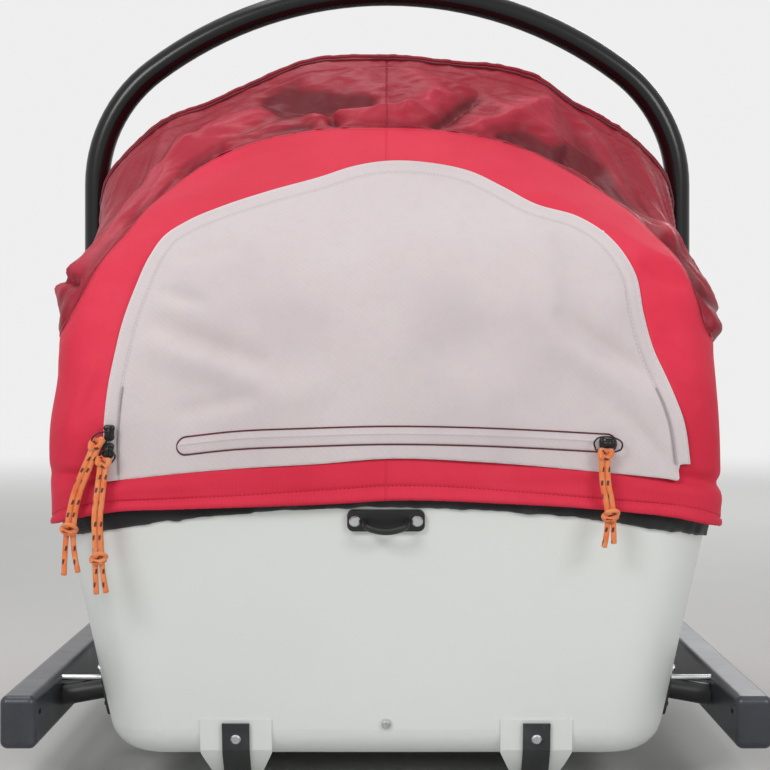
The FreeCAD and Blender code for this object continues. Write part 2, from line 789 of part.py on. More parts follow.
def bow_path(angle, inset):
    """Bow's centre line inside the dome, drawn in towards its feet."""
    stations = [fan_station(y, z) for y, z in FAN_PROFILE]
    low = stations[0][0]
    for (a0, r0), (a1, r1) in zip(stations, stations[1:]):
        if a0 <= angle <= a1:
            reach = r0 + (r1 - r0) * (angle - a0) / (a1 - a0)
    rise, corner = fan_sizes(angle, low)
    plane = fan_plane(angle)
    half = d.clothHalfWidth - inset
    foot = (d.bowFootZ - d.fanZ) / math.sin(math.radians(angle))
    right, left, top = arch_wire(reach - inset, half, rise - inset, corner - inset, foot, plane)
    edges = arch_edges(right, left, top)[1:4]
    legs = []
    for side in (1, -1):
        spring = reach - rise
        points = [Vector(side * half, spring, 0), Vector(side * half, foot + 110, 0),
                  Vector(side * d.bowFootX, foot + 42, 0), Vector(side * d.bowFootX, foot, 0)]
        legs.append(rounded_path([plane(p) for p in points], [90.0, 90.0]))
    leg_right, leg_left = legs
    ordered = list(reversed([edge.copy() for edge in leg_right.Edges])) + edges + leg_left.Edges
    return Part.Wire(Part.__sortEdges__(ordered)), plane, foot


inset = thick + d.gap + d.bowRod + 2.5
sockets = []
for label, angle in (("rear_bow", d.rearBowAngle), ("front_bow", d.frontBowAngle)):
    path, plane, foot = bow_path(angle, inset)
    rod = tube_along(path, d.bowRod, 10)
    shaped(label, rod)
    for side in (-1, 1):
        low_point = plane(Vector(side * d.bowFootX, foot - 4, 0))
        high_point = plane(Vector(side * d.bowFootX, foot + d.bowSocketHigh, 0))
        reach = high_point - low_point
        cup = Part.makeCylinder(d.bowSocket, reach.Length, low_point, reach)
        sockets.append(cup.cut(rod).cut(hull_shape).cut(trim_shape))
shaped("bow_sockets", Part.makeCompound([max(s.Solids, key=lambda p: p.Volume) for s in sockets]))

# Grey rear panel over the cloth, with the pocket zip and the two side zips
edge_x, foot_z, top_z = d.panelHalfWidth, d.panelFootZ, d.panelTopZ
y_far = -BIG / 2


def front_point(x, z):
    return Vector(x, y_far, z)


shoulder_x, shoulder_z = d.panelShoulderX, d.panelShoulderZ
panel_wire = Part.Wire([
    Part.Arc(front_point(-edge_x, foot_z), front_point(0, foot_z + d.panelFootRise),
             front_point(edge_x, foot_z)).toShape(),
    Part.Arc(front_point(edge_x, foot_z), front_point(edge_x - 1.5, (foot_z + shoulder_z) / 2 - 20),
             front_point(shoulder_x, shoulder_z)).toShape(),
    Part.Arc(front_point(shoulder_x, shoulder_z), front_point(shoulder_x - 12, shoulder_z + 20),
             front_point(shoulder_x - 34, shoulder_z + 34)).toShape(),
    Part.Arc(front_point(shoulder_x - 34, shoulder_z + 34), front_point(0, top_z),
             front_point(-shoulder_x + 34, shoulder_z + 34)).toShape(),
    Part.Arc(front_point(-shoulder_x + 34, shoulder_z + 34), front_point(-shoulder_x + 12, shoulder_z + 20),
             front_point(-shoulder_x, shoulder_z)).toShape(),
    Part.Arc(front_point(-shoulder_x, shoulder_z), front_point(-edge_x + 1.5, (foot_z + shoulder_z) / 2 - 20),
             front_point(-edge_x, foot_z)).toShape(),
])
panel_reach = BIG / 2 + d.fanY - 80
panel_prism = Part.Face(panel_wire).extrude(Vector(0, panel_reach, 0))
overlay = fan_loft(d.panelThick).common(panel_prism).cut(fan_loft(0.0))
overlay = max(overlay.Solids, key=lambda s: s.Volume)

side_room = []
for side in (-1, 1):
    side_room.append(Part.makeBox(
        d.zipWide + 2 * d.gap, panel_reach, d.sideZipTopZ - d.sideZipFootZ + 2 * d.gap,
        Vector(side * d.sideZipX - d.zipWide / 2 - d.gap, y_far, d.sideZipFootZ - d.gap)))
overlay = overlay.cut(Part.makeCompound(side_room))
pocket_room = Part.makeBox(2 * d.pocketHalfLong + 2 * d.gap, panel_reach, d.zipWide + 2 * d.gap,
                           Vector(-d.pocketHalfLong - d.gap, y_far, d.pocketZ - d.zipWide / 2 - d.gap))
overlay = overlay.cut(pocket_room)
overlay = max(overlay.Solids, key=lambda s: s.Volume)
shaped("rear_panel", overlay)

TAPE, COIL = 1.0, 2.2      # how far the zip's tape and coil stand off the cloth


def zip_piece(tape_box, coil_box):
    """Tape on the cloth with the coil along its middle."""
    skin = fan_loft(0.0)
    tape = fan_loft(TAPE).common(tape_box).cut(skin)
    coil = fan_loft(COIL).common(coil_box).cut(skin)
    return max(tape.fuse(coil).removeSplitter().Solids, key=lambda s: s.Volume)


pocket_tape = Part.makeBox(2 * d.pocketHalfLong, panel_reach, d.zipWide,
                           Vector(-d.pocketHalfLong, y_far, d.pocketZ - d.zipWide / 2))
pocket_coil = Part.makeBox(2 * d.pocketHalfLong - 8, panel_reach, d.coilWide,
                           Vector(-d.pocketHalfLong + 4, y_far, d.pocketZ - d.coilWide / 2))
pocket_face = rearmost(shaped("pocket_zip", zip_piece(pocket_tape, pocket_coil)))
for side, label in ((-1, "side_zip_left"), (1, "side_zip_right")):
    high = d.sideZipTopZ - d.sideZipFootZ
    tape = Part.makeBox(d.zipWide, panel_reach, high,
                        Vector(side * d.sideZipX - d.zipWide / 2, y_far, d.sideZipFootZ))
    coil = Part.makeBox(d.coilWide, panel_reach, high - 6,
                        Vector(side * d.sideZipX - d.coilWide / 2, y_far, d.sideZipFootZ + 3))
    side_face = rearmost(shaped(label, zip_piece(tape, coil)))

# Piping along the hood's front edge
rise, corner = fan_sizes(90.0, 20.0)
lift = d.pipingRound + d.gap
right, left, top = arch_wire(FAN_PROFILE[-1][1] - d.fanZ + lift, d.clothHalfWidth + lift, rise + lift,
                             corner + lift, 180.0, fan_plane(90.0))
shaped("hood_piping", tube_along(Part.Wire(arch_edges(right, left, top)), d.pipingRound, 8))


# Side arms: clamshell beams on pivots, each with a shaft socket at its front

def stop_slot(x, deep):
    """Arc slot that the stop rod runs in as the arm swings about its pivot."""
    half = d.stopRod + d.gap
    ends = [90.0, 90.0 - d.armSwing]

    def at(radius, angle):
        turn = math.radians(angle)
        return Vector(x, d.pivotY + radius * math.cos(turn), d.pivotZ + radius * math.sin(turn))
    middle = sum(ends) / 2
    past = math.degrees(half / d.stopHigh)
    outer, inner = d.stopHigh + half, d.stopHigh - half
    wire = Part.Wire([
        Part.Arc(at(outer, ends[0]), at(outer, middle), at(outer, ends[1])).toShape(),
        Part.Arc(at(outer, ends[1]), at(d.stopHigh, ends[1] - past), at(inner, ends[1])).toShape(),
        Part.Arc(at(inner, ends[1]), at(inner, middle), at(inner, ends[0])).toShape(),
        Part.Arc(at(inner, ends[0]), at(d.stopHigh, ends[0] + past), at(outer, ends[0])).toShape(),
    ])
    return Part.Face(wire).extrude(Vector(deep, 0, 0))


def make_arm(side, word):
    """Two moulded shells, a socket tube and the screws of one arm."""
    inner_x = "Sizes.armX" if side > 0 else "-Sizes.armX - Sizes.armWide"
    block = primitive("Part::Box", f"arm_block_{word}", Length="Sizes.armWide",
                      Width="Sizes.armFrontY - Sizes.armRearY", Height="Sizes.armHigh")
    block.setExpression("Placement.Base.x", inner_x)
    block.setExpression("Placement.Base.y", "Sizes.armRearY")
    block.setExpression("Placement.Base.z", "Sizes.armFootZ")
    doc.recompute()
    rounded = doc.addObject("Part::Fillet", f"arm_rounded_{word}")
    rounded.Base = block
    rounded.Edges = [(i, d.armRound, d.armRound) for i in range(1, len(block.Shape.Edges) + 1)]
    hollow = primitive("Part::Box", f"arm_hollow_{word}", Length="Sizes.armWide - 2 * Sizes.armWall",
                       Width="Sizes.armFrontY - Sizes.armRearY - 2 * Sizes.armWall",
                       Height="Sizes.armHigh - 2 * Sizes.armWall")
    hollow.setExpression("Placement.Base.x", inner_x + " + Sizes.armWall")
    hollow.setExpression("Placement.Base.y", "Sizes.armRearY + Sizes.armWall")
    hollow.setExpression("Placement.Base.z", "Sizes.armFootZ + Sizes.armWall")
    casing = boolean("Part::Cut", f"arm_casing_{word}", rounded, hollow)
    doc.recompute()
    shell = casing.Shape.copy()

    mid_x = side * (d.armX + d.armWide / 2)
    mid_z = d.armFootZ + d.armHigh / 2
    inner_face = side * d.armX
    socket_r = d.socketBore + d.socketWall
    # ribs that carry the pivot and the socket tube
    clear_width = d.armWide - 2 * d.armWall
    ribs = []
    for y in (d.armRearY + 60, d.pivotY - 45, d.pivotY + 45, d.armFrontY - d.socketLong - 2.5,
              d.armFrontY - 30):
        ribs.append(Part.makeBox(clear_width, 2.5, d.armHigh - 2 * d.armWall,
                                 Vector(mid_x - clear_width / 2, y, d.armFootZ + d.armWall)))
    boss = cylinder(min(inner_face, inner_face + side * (d.armWide / 2)), d.pivotY, d.pivotZ,
                    d.pivotPin + d.pivotClear + 3.0, d.armWide / 2)
    shell = shell.fuse(ribs + [boss])
    bore = cylinder(mid_x, d.armFrontY - d.socketLong, mid_z, socket_r, d.socketLong + 1, Vector(0, 1, 0))
    pin_hole = cylinder(min(inner_face - side, inner_face + side * 16), d.pivotY, d.pivotZ,
                        d.pivotPin + d.pivotClear, 17)
    # slot for the stop rod, an arc about the pivot
    slots = [pin_hole, bore, stop_slot(min(inner_face - side, inner_face + side * 5), 6.0)]
    # drain slot near the rear end of the inner face
    slots.append(Part.makeBox(6, 10, 4, Vector(min(inner_face - side, inner_face + side * 5),
                                               d.armRearY + 14, mid_z + 4)))
    shell = shell.cut(slots)
    split = Part.makeBox(BIG, BIG, BIG, Vector(mid_x if mid_x > 0 else mid_x - BIG, -BIG / 2, -BIG / 2))
    outer_half = shell.common(split)
    inner_half = shell.cut(split)
    shaped(f"arm_inner_shell_{word}", max(inner_half.Solids, key=lambda s: s.Volume))
    outer_shell = shaped(f"arm_outer_shell_{word}", max(outer_half.Solids, key=lambda s: s.Volume))

    tube = cylinder(mid_x, d.armFrontY - d.socketLong, mid_z, socket_r, d.socketLong, Vector(0, 1, 0))
    drill = cylinder(mid_x, d.armFrontY - d.socketLong - 1, mid_z, d.socketBore, d.socketLong + 2,
                     Vector(0, 1, 0))
    shaped(f"shaft_socket_{word}", tube.cut(drill))

    spots = []
    outer_face = side * (d.armX + d.armWide)
    for y in (d.armRearY + 30, d.pivotY + 20, -300.0, d.armFrontY - d.socketLong - 25):
        spots.append(Placement(Vector(outer_face, y, mid_z), Rotation(Vector(0, 1, 0), 90 * side)))
    shaped(f"arm_screws_{word}", Part.makeCompound(placed(pan_screw(3.6, 1.8, 1.4, d.armWall), spots)))
    drilled(outer_shell, spots, 1.5, depth=8.0)


for side, word in ((-1, "left"), (1, "right")):
    make_arm(side, word)


# Brackets on the hull that carry the arms

def make_bracket(side, word):
    """Hull plate, drooping sleeve and pivot pin in one moulding."""
    hull_x = half_width(d.pivotY, d.pivotZ)
    droop = math.radians(d.sleeveDroop)
    end_x = d.armX - d.gap
    reach = end_x - hull_x
    root = Vector(side * (hull_x - 6), d.pivotY, d.pivotZ + (reach + 6) * math.tan(droop))
    tip = Vector(side * end_x, d.pivotY, d.pivotZ)
    sleeve = Part.makeCone(d.sleeveRootRound, d.sleeveRound, (tip - root).Length, root, tip - root)
    trim = Part.makeBox(60, 60, 60, Vector(end_x if side > 0 else -end_x - 60, d.pivotY - 30, d.pivotZ - 30))
    plate = Part.makeBox(14, 66, 46, Vector(side * (hull_x + 1) - 7, d.pivotY - 33, d.pivotZ - 12))
    plate = plate.makeFillet(6.0, [e for e in plate.Edges if runs_along(e, Vector(1, 0, 0))])
    skin = tub(5.0, d.floorZ - 5.0)
    plate = plate.common(skin)
    pin_start = min(side * (end_x - 12), side * (d.armX + 17))
    pin = cylinder(pin_start, d.pivotY, d.pivotZ, d.pivotPin, d.armX + 17 - end_x + 12)
    body = plate.fuse([sleeve.cut(trim), pin]).cut(tub(0.0, d.floorZ))
    bracket = shaped(f"bracket_{word}", max(body.Solids, key=lambda s: s.Volume))
    rod_z = d.pivotZ + d.stopHigh
    rod_root = side * half_width(d.pivotY, rod_z)
    rod_tip = side * (d.armX + 4.0)
    rod = cylinder(min(rod_root, rod_tip), d.pivotY, rod_z, d.stopRod, abs(rod_tip - rod_root))
    rod = rod.cut(bracket.Shape).cut(hull_shape)
    shaped(f"stop_rod_{word}", max(rod.Solids, key=lambda s: s.Volume))
    lean = math.degrees(math.atan(d.sideDraft))
    spots = []
    for y in (-24, 24):
        for z in (-4, 26):
            height = d.pivotZ + z
            base = Vector(side * (side_at(height) + 5.0), d.pivotY + y, height)
            spots.append(Placement(base, Rotation(Vector(0, 1, 0), side * (90 + lean))))
    drilled(bracket, spots, 1.7, depth=14.0)
    return placed(pan_screw(3.6, 2.0, 1.6, 4.5), spots)


bracket_screws = make_bracket(-1, "left") + make_bracket(1, "right")
shaped("bracket_screws", Part.makeCompound(bracket_screws))


# Roll bar: bent tube on two pivots, laid back as a push handle

def bar_wire():
    half, spring = d.barHalfWidth, d.barSpringZ
    corner, crown, rise = d.barCornerRound, d.barCrownRound, d.barRise
    right, left, top = arch_wire(spring + rise, half, rise, corner, 0.0, lambda p: Vector(p.x, d.barY, p.y))
    arcs = arch_edges(right, left, top)[1:4]
    legs = []
    for side in (1, -1):
        points = [Vector(side * half, d.barY, spring), Vector(side * half, d.barY, 208.0),
                  Vector(side * d.barFootX, d.barY, 152.0),
                  Vector(side * d.barFootX, d.barY, d.barPivotZ + d.barEyeRound + 1.0)]
        legs.append(rounded_path(points, [55.0, 55.0]))
    return Part.Wire(Part.__sortEdges__(legs[0].Edges + arcs + legs[1].Edges))


bar_path = bar_wire()
bar_solid = tube_along(bar_path, d.barTube)
shaped("bar_tube", bar_solid)


def make_foot(side, word):
    """Eye and sleeve that join the tube to its pivot."""
    eye_x = side * d.barFootX
    eye = cylinder(eye_x - d.barEyeHalf, d.barY, d.barPivotZ, d.barEyeRound, 2 * d.barEyeHalf)
    sleeve_foot = d.barPivotZ + 6
    sleeve_high = d.barSleeveTopZ - sleeve_foot
    sleeve = cylinder(eye_x, d.barY, sleeve_foot, d.barSleeveRound, sleeve_high, Vector(0, 0, 1))
    foot = eye.fuse(sleeve)
    seat_z = d.barPivotZ + d.barEyeRound + 1.0
    foot = foot.cut(cylinder(eye_x, d.barY, seat_z, d.barTube, 40.0, Vector(0, 0, 1)))
    # room to turn past the hub and the bolt's head
    room = []
    for start in (eye_x - d.barEyeHalf - 10.0, eye_x + d.barEyeHalf):
        room.append(cylinder(start, d.barY, d.barPivotZ, d.barEyeRound + 1.5, 10.0))
    foot = foot.cut(room)
    hole = cylinder(eye_x - d.barEyeHalf - 5, d.barY, d.barPivotZ, d.barPivotPin + d.gap,
                    2 * d.barEyeHalf + 10)
    shaped(f"bar_foot_{word}", max(foot.cut(hole).Solids, key=lambda s: s.Volume))


def make_hub(side, word):
    """Boss on the hull with the pivot bolt through the bar's foot."""
    face_x = d.barFootX - d.barEyeHalf - d.gap
    root_x = half_width(d.barY, d.barPivotZ + 20) - 14
    flange_x = half_width(d.barY, d.barPivotZ) + 3.5
    outline = [
        (root_x, 0.0), (root_x, 26.0), (flange_x, 26.0),
        (flange_x + 2.0, 19.0), (face_x, 17.0), (face_x, 0.0)]
    corners = [Vector(x, 0, r) for x, r in outline]
    boss = Part.Face(Part.makePolygon(corners + [corners[0]])).revolve(Vector(0, 0, 0), Vector(1, 0, 0), 360)
    boss.translate(Vector(0, d.barY, d.barPivotZ))
    pin_end = d.barFootX + d.barEyeHalf + d.gap
    pin = cylinder(face_x - 8, d.barY, d.barPivotZ, d.barPivotPin, pin_end - face_x + 8)
    head = cylinder(pin_end, d.barY, d.barPivotZ, 9.0, 3.2)
    hub = boss.Solids[0] if boss.Solids else Part.makeSolid(boss.Shells[0])
    hub = hub.fuse([pin, head])
    if side < 0:
        hub = mirrored(hub)
    hub = hub.cut(tub(0.0, d.floorZ))
    shaped(f"bar_hub_{word}", max(hub.Solids, key=lambda s: s.Volume))


for side, word in ((-1, "left"), (1, "right")):
    make_foot(side, word)
    make_hub(side, word)


# Seat inside the hull

floor = d.floorZ + d.wall + d.gap
seat_body, seat_pad = padded_body("seat_shell", "YZ_Plane", [
    ("Sizes.seatFrontY", "Sizes.floorZ + Sizes.wall + Sizes.gap"),
    ("Sizes.seatFrontY", "Sizes.floorZ + Sizes.wall + Sizes.gap + Sizes.seatBoard"),
    ("Sizes.seatRearY", "Sizes.floorZ + Sizes.wall + Sizes.gap + Sizes.seatBoard"),
    ("Sizes.seatTopRearY", "Sizes.seatTopZ"),
    ("Sizes.seatTopRearY - Sizes.seatBoard", "Sizes.seatTopZ"),
    ("Sizes.seatRearY - Sizes.seatBoard", "Sizes.floorZ + Sizes.wall + Sizes.gap"),
], "2 * Sizes.seatHalfWidth", both_ways=True)
round_edges(seat_body, seat_pad, "3 * Sizes.seatBoard", lambda e: abs(e.Length - d.seatBoard) < 0.6)
keep(seat_body, "seat_shell")


def cushion_shape(half_wide, long, thick):
    """Crowned pad: sides drawn in between the corners, full in the middle."""
    rows = ((0.0, 0.93), (0.3, 1.0), (0.7, 0.97), (0.94, 0.82), (1.0, 0.6))
    wires = []
    for high, share in rows:
        a, b = half_wide * share, long / 2 * share
        pull = 6.0 * share
        r = 22.0 * share
        z = thick * high
        k = r * (1 - math.sqrt(0.5))
        corners = [(1, 1), (-1, 1), (-1, -1), (1, -1)]
        edges = []
        for i, (sx, sy) in enumerate(corners):
            nx, ny = corners[(i + 1) % 4]
            start_flat = Vector(sx * (a - r), sy * b, z) if i % 2 == 0 else Vector(sx * a, sy * (b - r), z)
            end_flat = Vector(nx * (a - r), ny * b, z) if i % 2 == 0 else Vector(nx * a, ny * (b - r), z)
            middle = Vector(0, sy * (b - pull), z) if i % 2 == 0 else Vector(sx * (a - pull), 0, z)
            edges.append(Part.Arc(start_flat, middle, end_flat).toShape())
            turn_end = Vector(nx * a, ny * (b - r), z) if i % 2 == 0 else Vector(nx * (a - r), ny * b, z)
            turn_mid = Vector(nx * (a - k), ny * (b - k), z)
            edges.append(Part.Arc(end_flat, turn_mid, turn_end).toShape())
        wires.append(Part.Wire(edges))
    return Part.makeLoft(wires, True, True)


board_top = floor + d.seatBoard
seat_long = d.seatFrontY - d.seatRearY - 2 * d.cushionMargin - d.cushionThick
seat_mid_y = d.seatFrontY - d.cushionMargin - seat_long / 2
shaped("seat_cushion", cushion_shape(d.seatHalfWidth - d.cushionMargin, seat_long, d.cushionThick),
       place(0, seat_mid_y, board_top))
back_run = Vector(0, d.seatTopRearY - d.seatRearY, d.seatTopZ - board_top)
back_angle = math.degrees(math.atan2(-back_run.y, back_run.z))
back_long = back_run.Length - d.cushionMargin - 4
back_mid = Vector(0, d.seatRearY, board_top) + back_run * ((4 + back_long / 2) / back_run.Length)
tilt = Rotation(Vector(1, 0, 0), back_angle).multiply(Rotation(Vector(1, 0, 0), -90))
shaped("back_cushion", cushion_shape(d.seatHalfWidth - d.cushionMargin, back_long, d.cushionThick),
       Placement(back_mid, tilt))


def make_harness():
    """Two shoulder straps and a crotch strap that meet in a buckle."""
    up = back_run.normalize()
    out = tilt.multVec(Vector(0, 0, 1))
    base = Vector(0, d.seatRearY, board_top)
    lift = d.cushionThick + d.gap
    straps = []
    buckle_high = 150.0
    middle = base + up * buckle_high + out * (lift + 6)
    for side, word in ((-1, "left"), (1, "right")):
        top = Vector(side * 62, 0, 0) + base + up * 318 + out * lift
        low = Vector(side * 14, 0, 0) + base + up * (buckle_high + 24) + out * lift
        across = up.cross(out).normalize() * (d.strapWide / 2)
        face = Part.Face(Part.makePolygon([top - across, top + across, low + across * 0.6,
                                           low - across * 0.6, top - across]))
        straps.append((word, face.extrude(out * d.strapThick)))
    for word, strap in straps:
        shaped(f"harness_strap_{word}", strap)
    low_start = base + up * (buckle_high - 22) + out * lift
    low_end = base + up * 70 + out * lift
    across = Vector(d.strapWide / 2, 0, 0)
    crotch = Part.Face(Part.makePolygon([low_start - across, low_start + across, low_end + across,
                                         low_end - across, low_start - across])).extrude(out * d.strapThick)
    shaped("crotch_strap", crotch)
    buckle = Part.makeBox(52, 50, 10, Vector(-26, -25, 0))
    buckle = buckle.makeFillet(8.0, [e for e in buckle.Edges if runs_along(e, Vector(0, 0, 1))])
    buckle.Placement = Placement(base + up * (buckle_high + 1) + out * (lift), tilt)
    solid = buckle
    for _, strap in straps:
        solid = solid.cut(strap)
    solid = solid.cut(crotch)
    shaped("harness_buckle", max(solid.Solids, key=lambda s: s.Volume))


make_harness()


# Zip sliders with their cord pulls

def make_slider(label, x, z, zip_face, route, tails, knot_spot, upright=True):
    """Slider, two strands and their knot on one zip."""
    face_y = zip_face - d.gap
    body = doc.addObject("PartDesign::Body", label + "_shield")
    outline = [
        ("-0.5 * Sizes.sliderWide", "0.12 * Sizes.sliderLong"),
        ("-0.3 * Sizes.sliderWide", "-0.5 * Sizes.sliderLong"),
        ("0.3 * Sizes.sliderWide", "-0.5 * Sizes.sliderLong"),
        ("0.5 * Sizes.sliderWide", "0.12 * Sizes.sliderLong"),
        ("0.34 * Sizes.sliderWide", "0.5 * Sizes.sliderLong"),
        ("-0.34 * Sizes.sliderWide", "0.5 * Sizes.sliderLong"),
    ]
    sketch_outline(body, label + "_sketch", "XZ_Plane", outline)
    pad = body.newObject("PartDesign::Pad", label + "_pad")
    pad.Profile = doc.getObject(label + "_sketch")
    pad.setExpression("Length", "Sizes.sliderThick")
    doc.recompute()
    round_edges(body, pad, "0.12 * Sizes.sliderWide", lambda e: runs_along(e, Vector(0, 1, 0)))
    if not upright:
        body.Placement = place(x, face_y, z, Vector(0, 1, 0), 90)
    else:
        body.Placement = place(x, face_y, z)
    doc.recompute()
    # wire ring that the cord is hitched to, hanging from the slider's bail
    ring_centre = Vector(x, face_y - d.sliderThick - 1.2, z - 6.5)
    ring = cylinder(ring_centre.x, ring_centre.y - 0.9, ring_centre.z, 5.6, 1.8, Vector(0, 1, 0))
    ring = ring.cut(cylinder(ring_centre.x, ring_centre.y - 2, ring_centre.z, 3.6, 4, Vector(0, 1, 0)))
    bail = Part.makeBox(3.4, 3.4, 5.0, Vector(x - 1.7, face_y - d.sliderThick - 3.0, z - 3.6))
    shield = body.Shape.fuse([bail, ring])
    strands = []
    for word, tail in zip("ab", tails):
        points = [Vector(*p) for p in route(word)] + [Vector(*p) for p in tail]
        radii = cord_radii(points)
        path = rounded_path(points, radii)
        tube = tube_along(path, d.cordRound, CORD_SIDES)
        section = CORD_SIDES / 2 * d.cordRound ** 2 * math.sin(2 * math.pi / CORD_SIDES)
        print(label, word, "radii", [round(r, 1) for r in radii], "length", round(path.Length, 1),
              "volume against section times length", round(tube.Volume / (section * path.Length), 4))
        strands.append(tube)
    shield = shield.cut(strands)
    shaped(label, max(shield.Solids, key=lambda s: s.Volume))
    for word, strand in zip("ab", strands):
        shaped(f"{label}_strand_{word}", strand)
    high, wide = 1.1 * d.knotRound, 0.8 * d.knotRound
    corners = [Vector(0, 0, -high), Vector(0.62 * wide, 0, -high), Vector(wide, 0, -0.4 * high),
               Vector(wide, 0, 0.4 * high), Vector(0.62 * wide, 0, high), Vector(0, 0, high)]
    half = Part.Face(Part.makePolygon(corners + [corners[0]]))
    knot = half.revolve(Vector(0, 0, 0), Vector(0, 0, 1), 360)
    knot.translate(Vector(*knot_spot))
    shaped(f"{label}_knot", max(knot.cut(strands[0]).cut(strands[1]).Solids, key=lambda s: s.Volume))


def strand_route(points):
    """Route of one strand, shifted sideways from the middle line."""
    def route(word):
        shift = -d.strandApart if word == "a" else d.strandApart
        return [(x + shift, y, z) for x, y, z in points]
    return route


left_x = -d.sideZipX
make_slider("side_slider_upper", left_x, 294.0, side_face,
            strand_route([(left_x - 6, -610.0, 284.0), (left_x - 14, -609.0, 266.0),
                          (left_x - 22, -608.5, 246.0), (left_x - 26, -608.0, 226.0)]),
            [[(left_x - 30.5, -608.0, 205.0), (left_x - 31.0, -609.0, 184.0)],
             [(left_x - 24.5, -608.0, 205.0), (left_x - 20.5, -607.0, 186.0)]],
            (left_x - 27.2, -608.0, 219.0))
make_slider("side_slider_lower", left_x, 275.0, side_face,
            strand_route([(left_x + 5, -610.0, 265.0), (left_x + 3.5, -612.5, 246.0),
                          (left_x + 1, -614.0, 226.0), (left_x + 3, -614.5, 206.0)]),
            [[(left_x - 0.5, -614.5, 186.0), (left_x - 1.5, -615.0, 166.0)],
             [(left_x + 5.0, -614.5, 186.0), (left_x + 7.0, -614.0, 167.0)]],
            (left_x + 3.0, -614.5, 197.5))
make_slider("pocket_slider", d.pocketHalfLong - 3.0, d.pocketZ, pocket_face,
            strand_route([(166.0, -611.0, 275.0), (164.5, -612.5, 258.0), (168.0, -613.0, 240.0)]),
            [[(166.0, -613.0, 222.0), (163.0, -613.0, 206.0)],
             [(170.5, -613.0, 223.0), (171.5, -613.5, 208.0)]],
            (168.0, -613.0, 231.5), upright=False)

# Check everything, then write each sub-part to its own file
doc.recompute()
for piece in doc.Objects:
    if "Invalid" in piece.State or "Error" in piece.State:
        raise RuntimeError(f"{piece.Label} failed: {piece.State}")
os.makedirs("parts", exist_ok=True)
for piece in nodes:
    shape = piece.Shape
    if shape.isNull() or not shape.isValid() or not shape.Solids:
        raise RuntimeError(f"{piece.Label} has no valid solid")
    shape.exportStep(f"parts/{piece.Label}.step")
print(len(nodes), "sub-parts written")
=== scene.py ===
import bmesh
import bpy
import numpy as np
from math import pi, radians
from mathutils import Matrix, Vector


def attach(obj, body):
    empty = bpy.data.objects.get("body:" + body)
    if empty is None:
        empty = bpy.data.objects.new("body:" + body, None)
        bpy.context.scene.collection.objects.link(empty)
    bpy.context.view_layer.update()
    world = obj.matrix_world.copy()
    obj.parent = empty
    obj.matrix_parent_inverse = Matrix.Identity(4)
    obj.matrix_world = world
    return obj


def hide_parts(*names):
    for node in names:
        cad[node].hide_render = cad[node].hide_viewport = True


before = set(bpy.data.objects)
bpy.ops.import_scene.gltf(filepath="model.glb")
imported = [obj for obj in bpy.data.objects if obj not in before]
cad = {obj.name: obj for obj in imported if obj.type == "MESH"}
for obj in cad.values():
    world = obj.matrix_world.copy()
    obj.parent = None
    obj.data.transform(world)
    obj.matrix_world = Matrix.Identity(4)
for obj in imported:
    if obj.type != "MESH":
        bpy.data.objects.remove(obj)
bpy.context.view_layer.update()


# camera: level, behind the sled, with the small shift that the photograph's framing has
cameraView = {
    "place": (0.0047, -2.100, 0.3495),
    "sensor": 36.0,
    "focalInPixels": 1920.0,
    "imageSize": 770.0,
    "vanishingPixel": (392.0, 362.0),
}


def setCamera(v):
    data = bpy.data.cameras.new("studioCamera")
    data.sensor_width = v["sensor"]
    data.lens = v["focalInPixels"] / v["imageSize"] * v["sensor"]
    middle = v["imageSize"] / 2
    data.shift_x = (middle - v["vanishingPixel"][0]) / v["imageSize"]
    data.shift_y = (v["vanishingPixel"][1] - middle) / v["imageSize"]
    camera = bpy.data.objects.new("studioCamera", data)
    bpy.context.scene.collection.objects.link(camera)
    camera.location = v["place"]
    camera.rotation_euler = (radians(90), 0, 0)
    bpy.context.scene.camera = camera


setCamera(cameraView)
print("camera set")


# meshes from whole arrays of points

def gridMesh(name, points, uv=None, closedAcross=False, closedAlong=False, flip=False, extra=None):
    # an object from a (rows, columns, 3) array of points
    flatPoints, quads = gridFaces(points, closedAcross, closedAlong, flip)
    return meshObject(name, flatPoints, quads, uv, extra)


def gridFaces(points, closedAcross=False, closedAlong=False, flip=False):
    # quads between neighbouring points of the array
    rows, columns = points.shape[:2]
    index = np.arange(rows * columns).reshape(rows, columns)
    if closedAlong:
        index = np.vstack([index, index[:1]])
    if closedAcross:
        index = np.hstack([index, index[:, :1]])
    quads = np.stack([index[:-1, :-1], index[:-1, 1:], index[1:, 1:], index[1:, :-1]], axis=-1).reshape(-1, 4)
    return points.reshape(-1, 3), quads[:, ::-1] if flip else quads


def meshObject(name, points, quads, uv=None, extra=None):
    # an object from points and four-sided faces, with its own UV map and point values
    mesh = bpy.data.meshes.new(name)
    mesh.vertices.add(len(points))
    mesh.vertices.foreach_set("co", np.ascontiguousarray(points, dtype=np.float32).ravel())
    corners = np.ascontiguousarray(quads, dtype=np.int32)
    mesh.loops.add(corners.size)
    mesh.loops.foreach_set("vertex_index", corners.ravel())
    mesh.polygons.add(len(corners))
    mesh.polygons.foreach_set("loop_start", np.arange(0, corners.size, corners.shape[1], dtype=np.int32))
    mesh.polygons.foreach_set("use_smooth", np.ones(len(corners), dtype=bool))
    mesh.update(calc_edges=True)
    if uv is not None:
        layer = mesh.uv_layers.new(name="surface")
        layer.data.foreach_set("uv", uv.reshape(-1, 2)[corners.ravel()].astype(np.float32).ravel())
    for key, values in (extra or {}).items():
        mesh.attributes.new(key, "FLOAT", "POINT").data.foreach_set("value", values.astype(np.float32).ravel())
    mesh.validate()
    made = bpy.data.objects.new(name, mesh)
    bpy.context.scene.collection.objects.link(made)
    return made


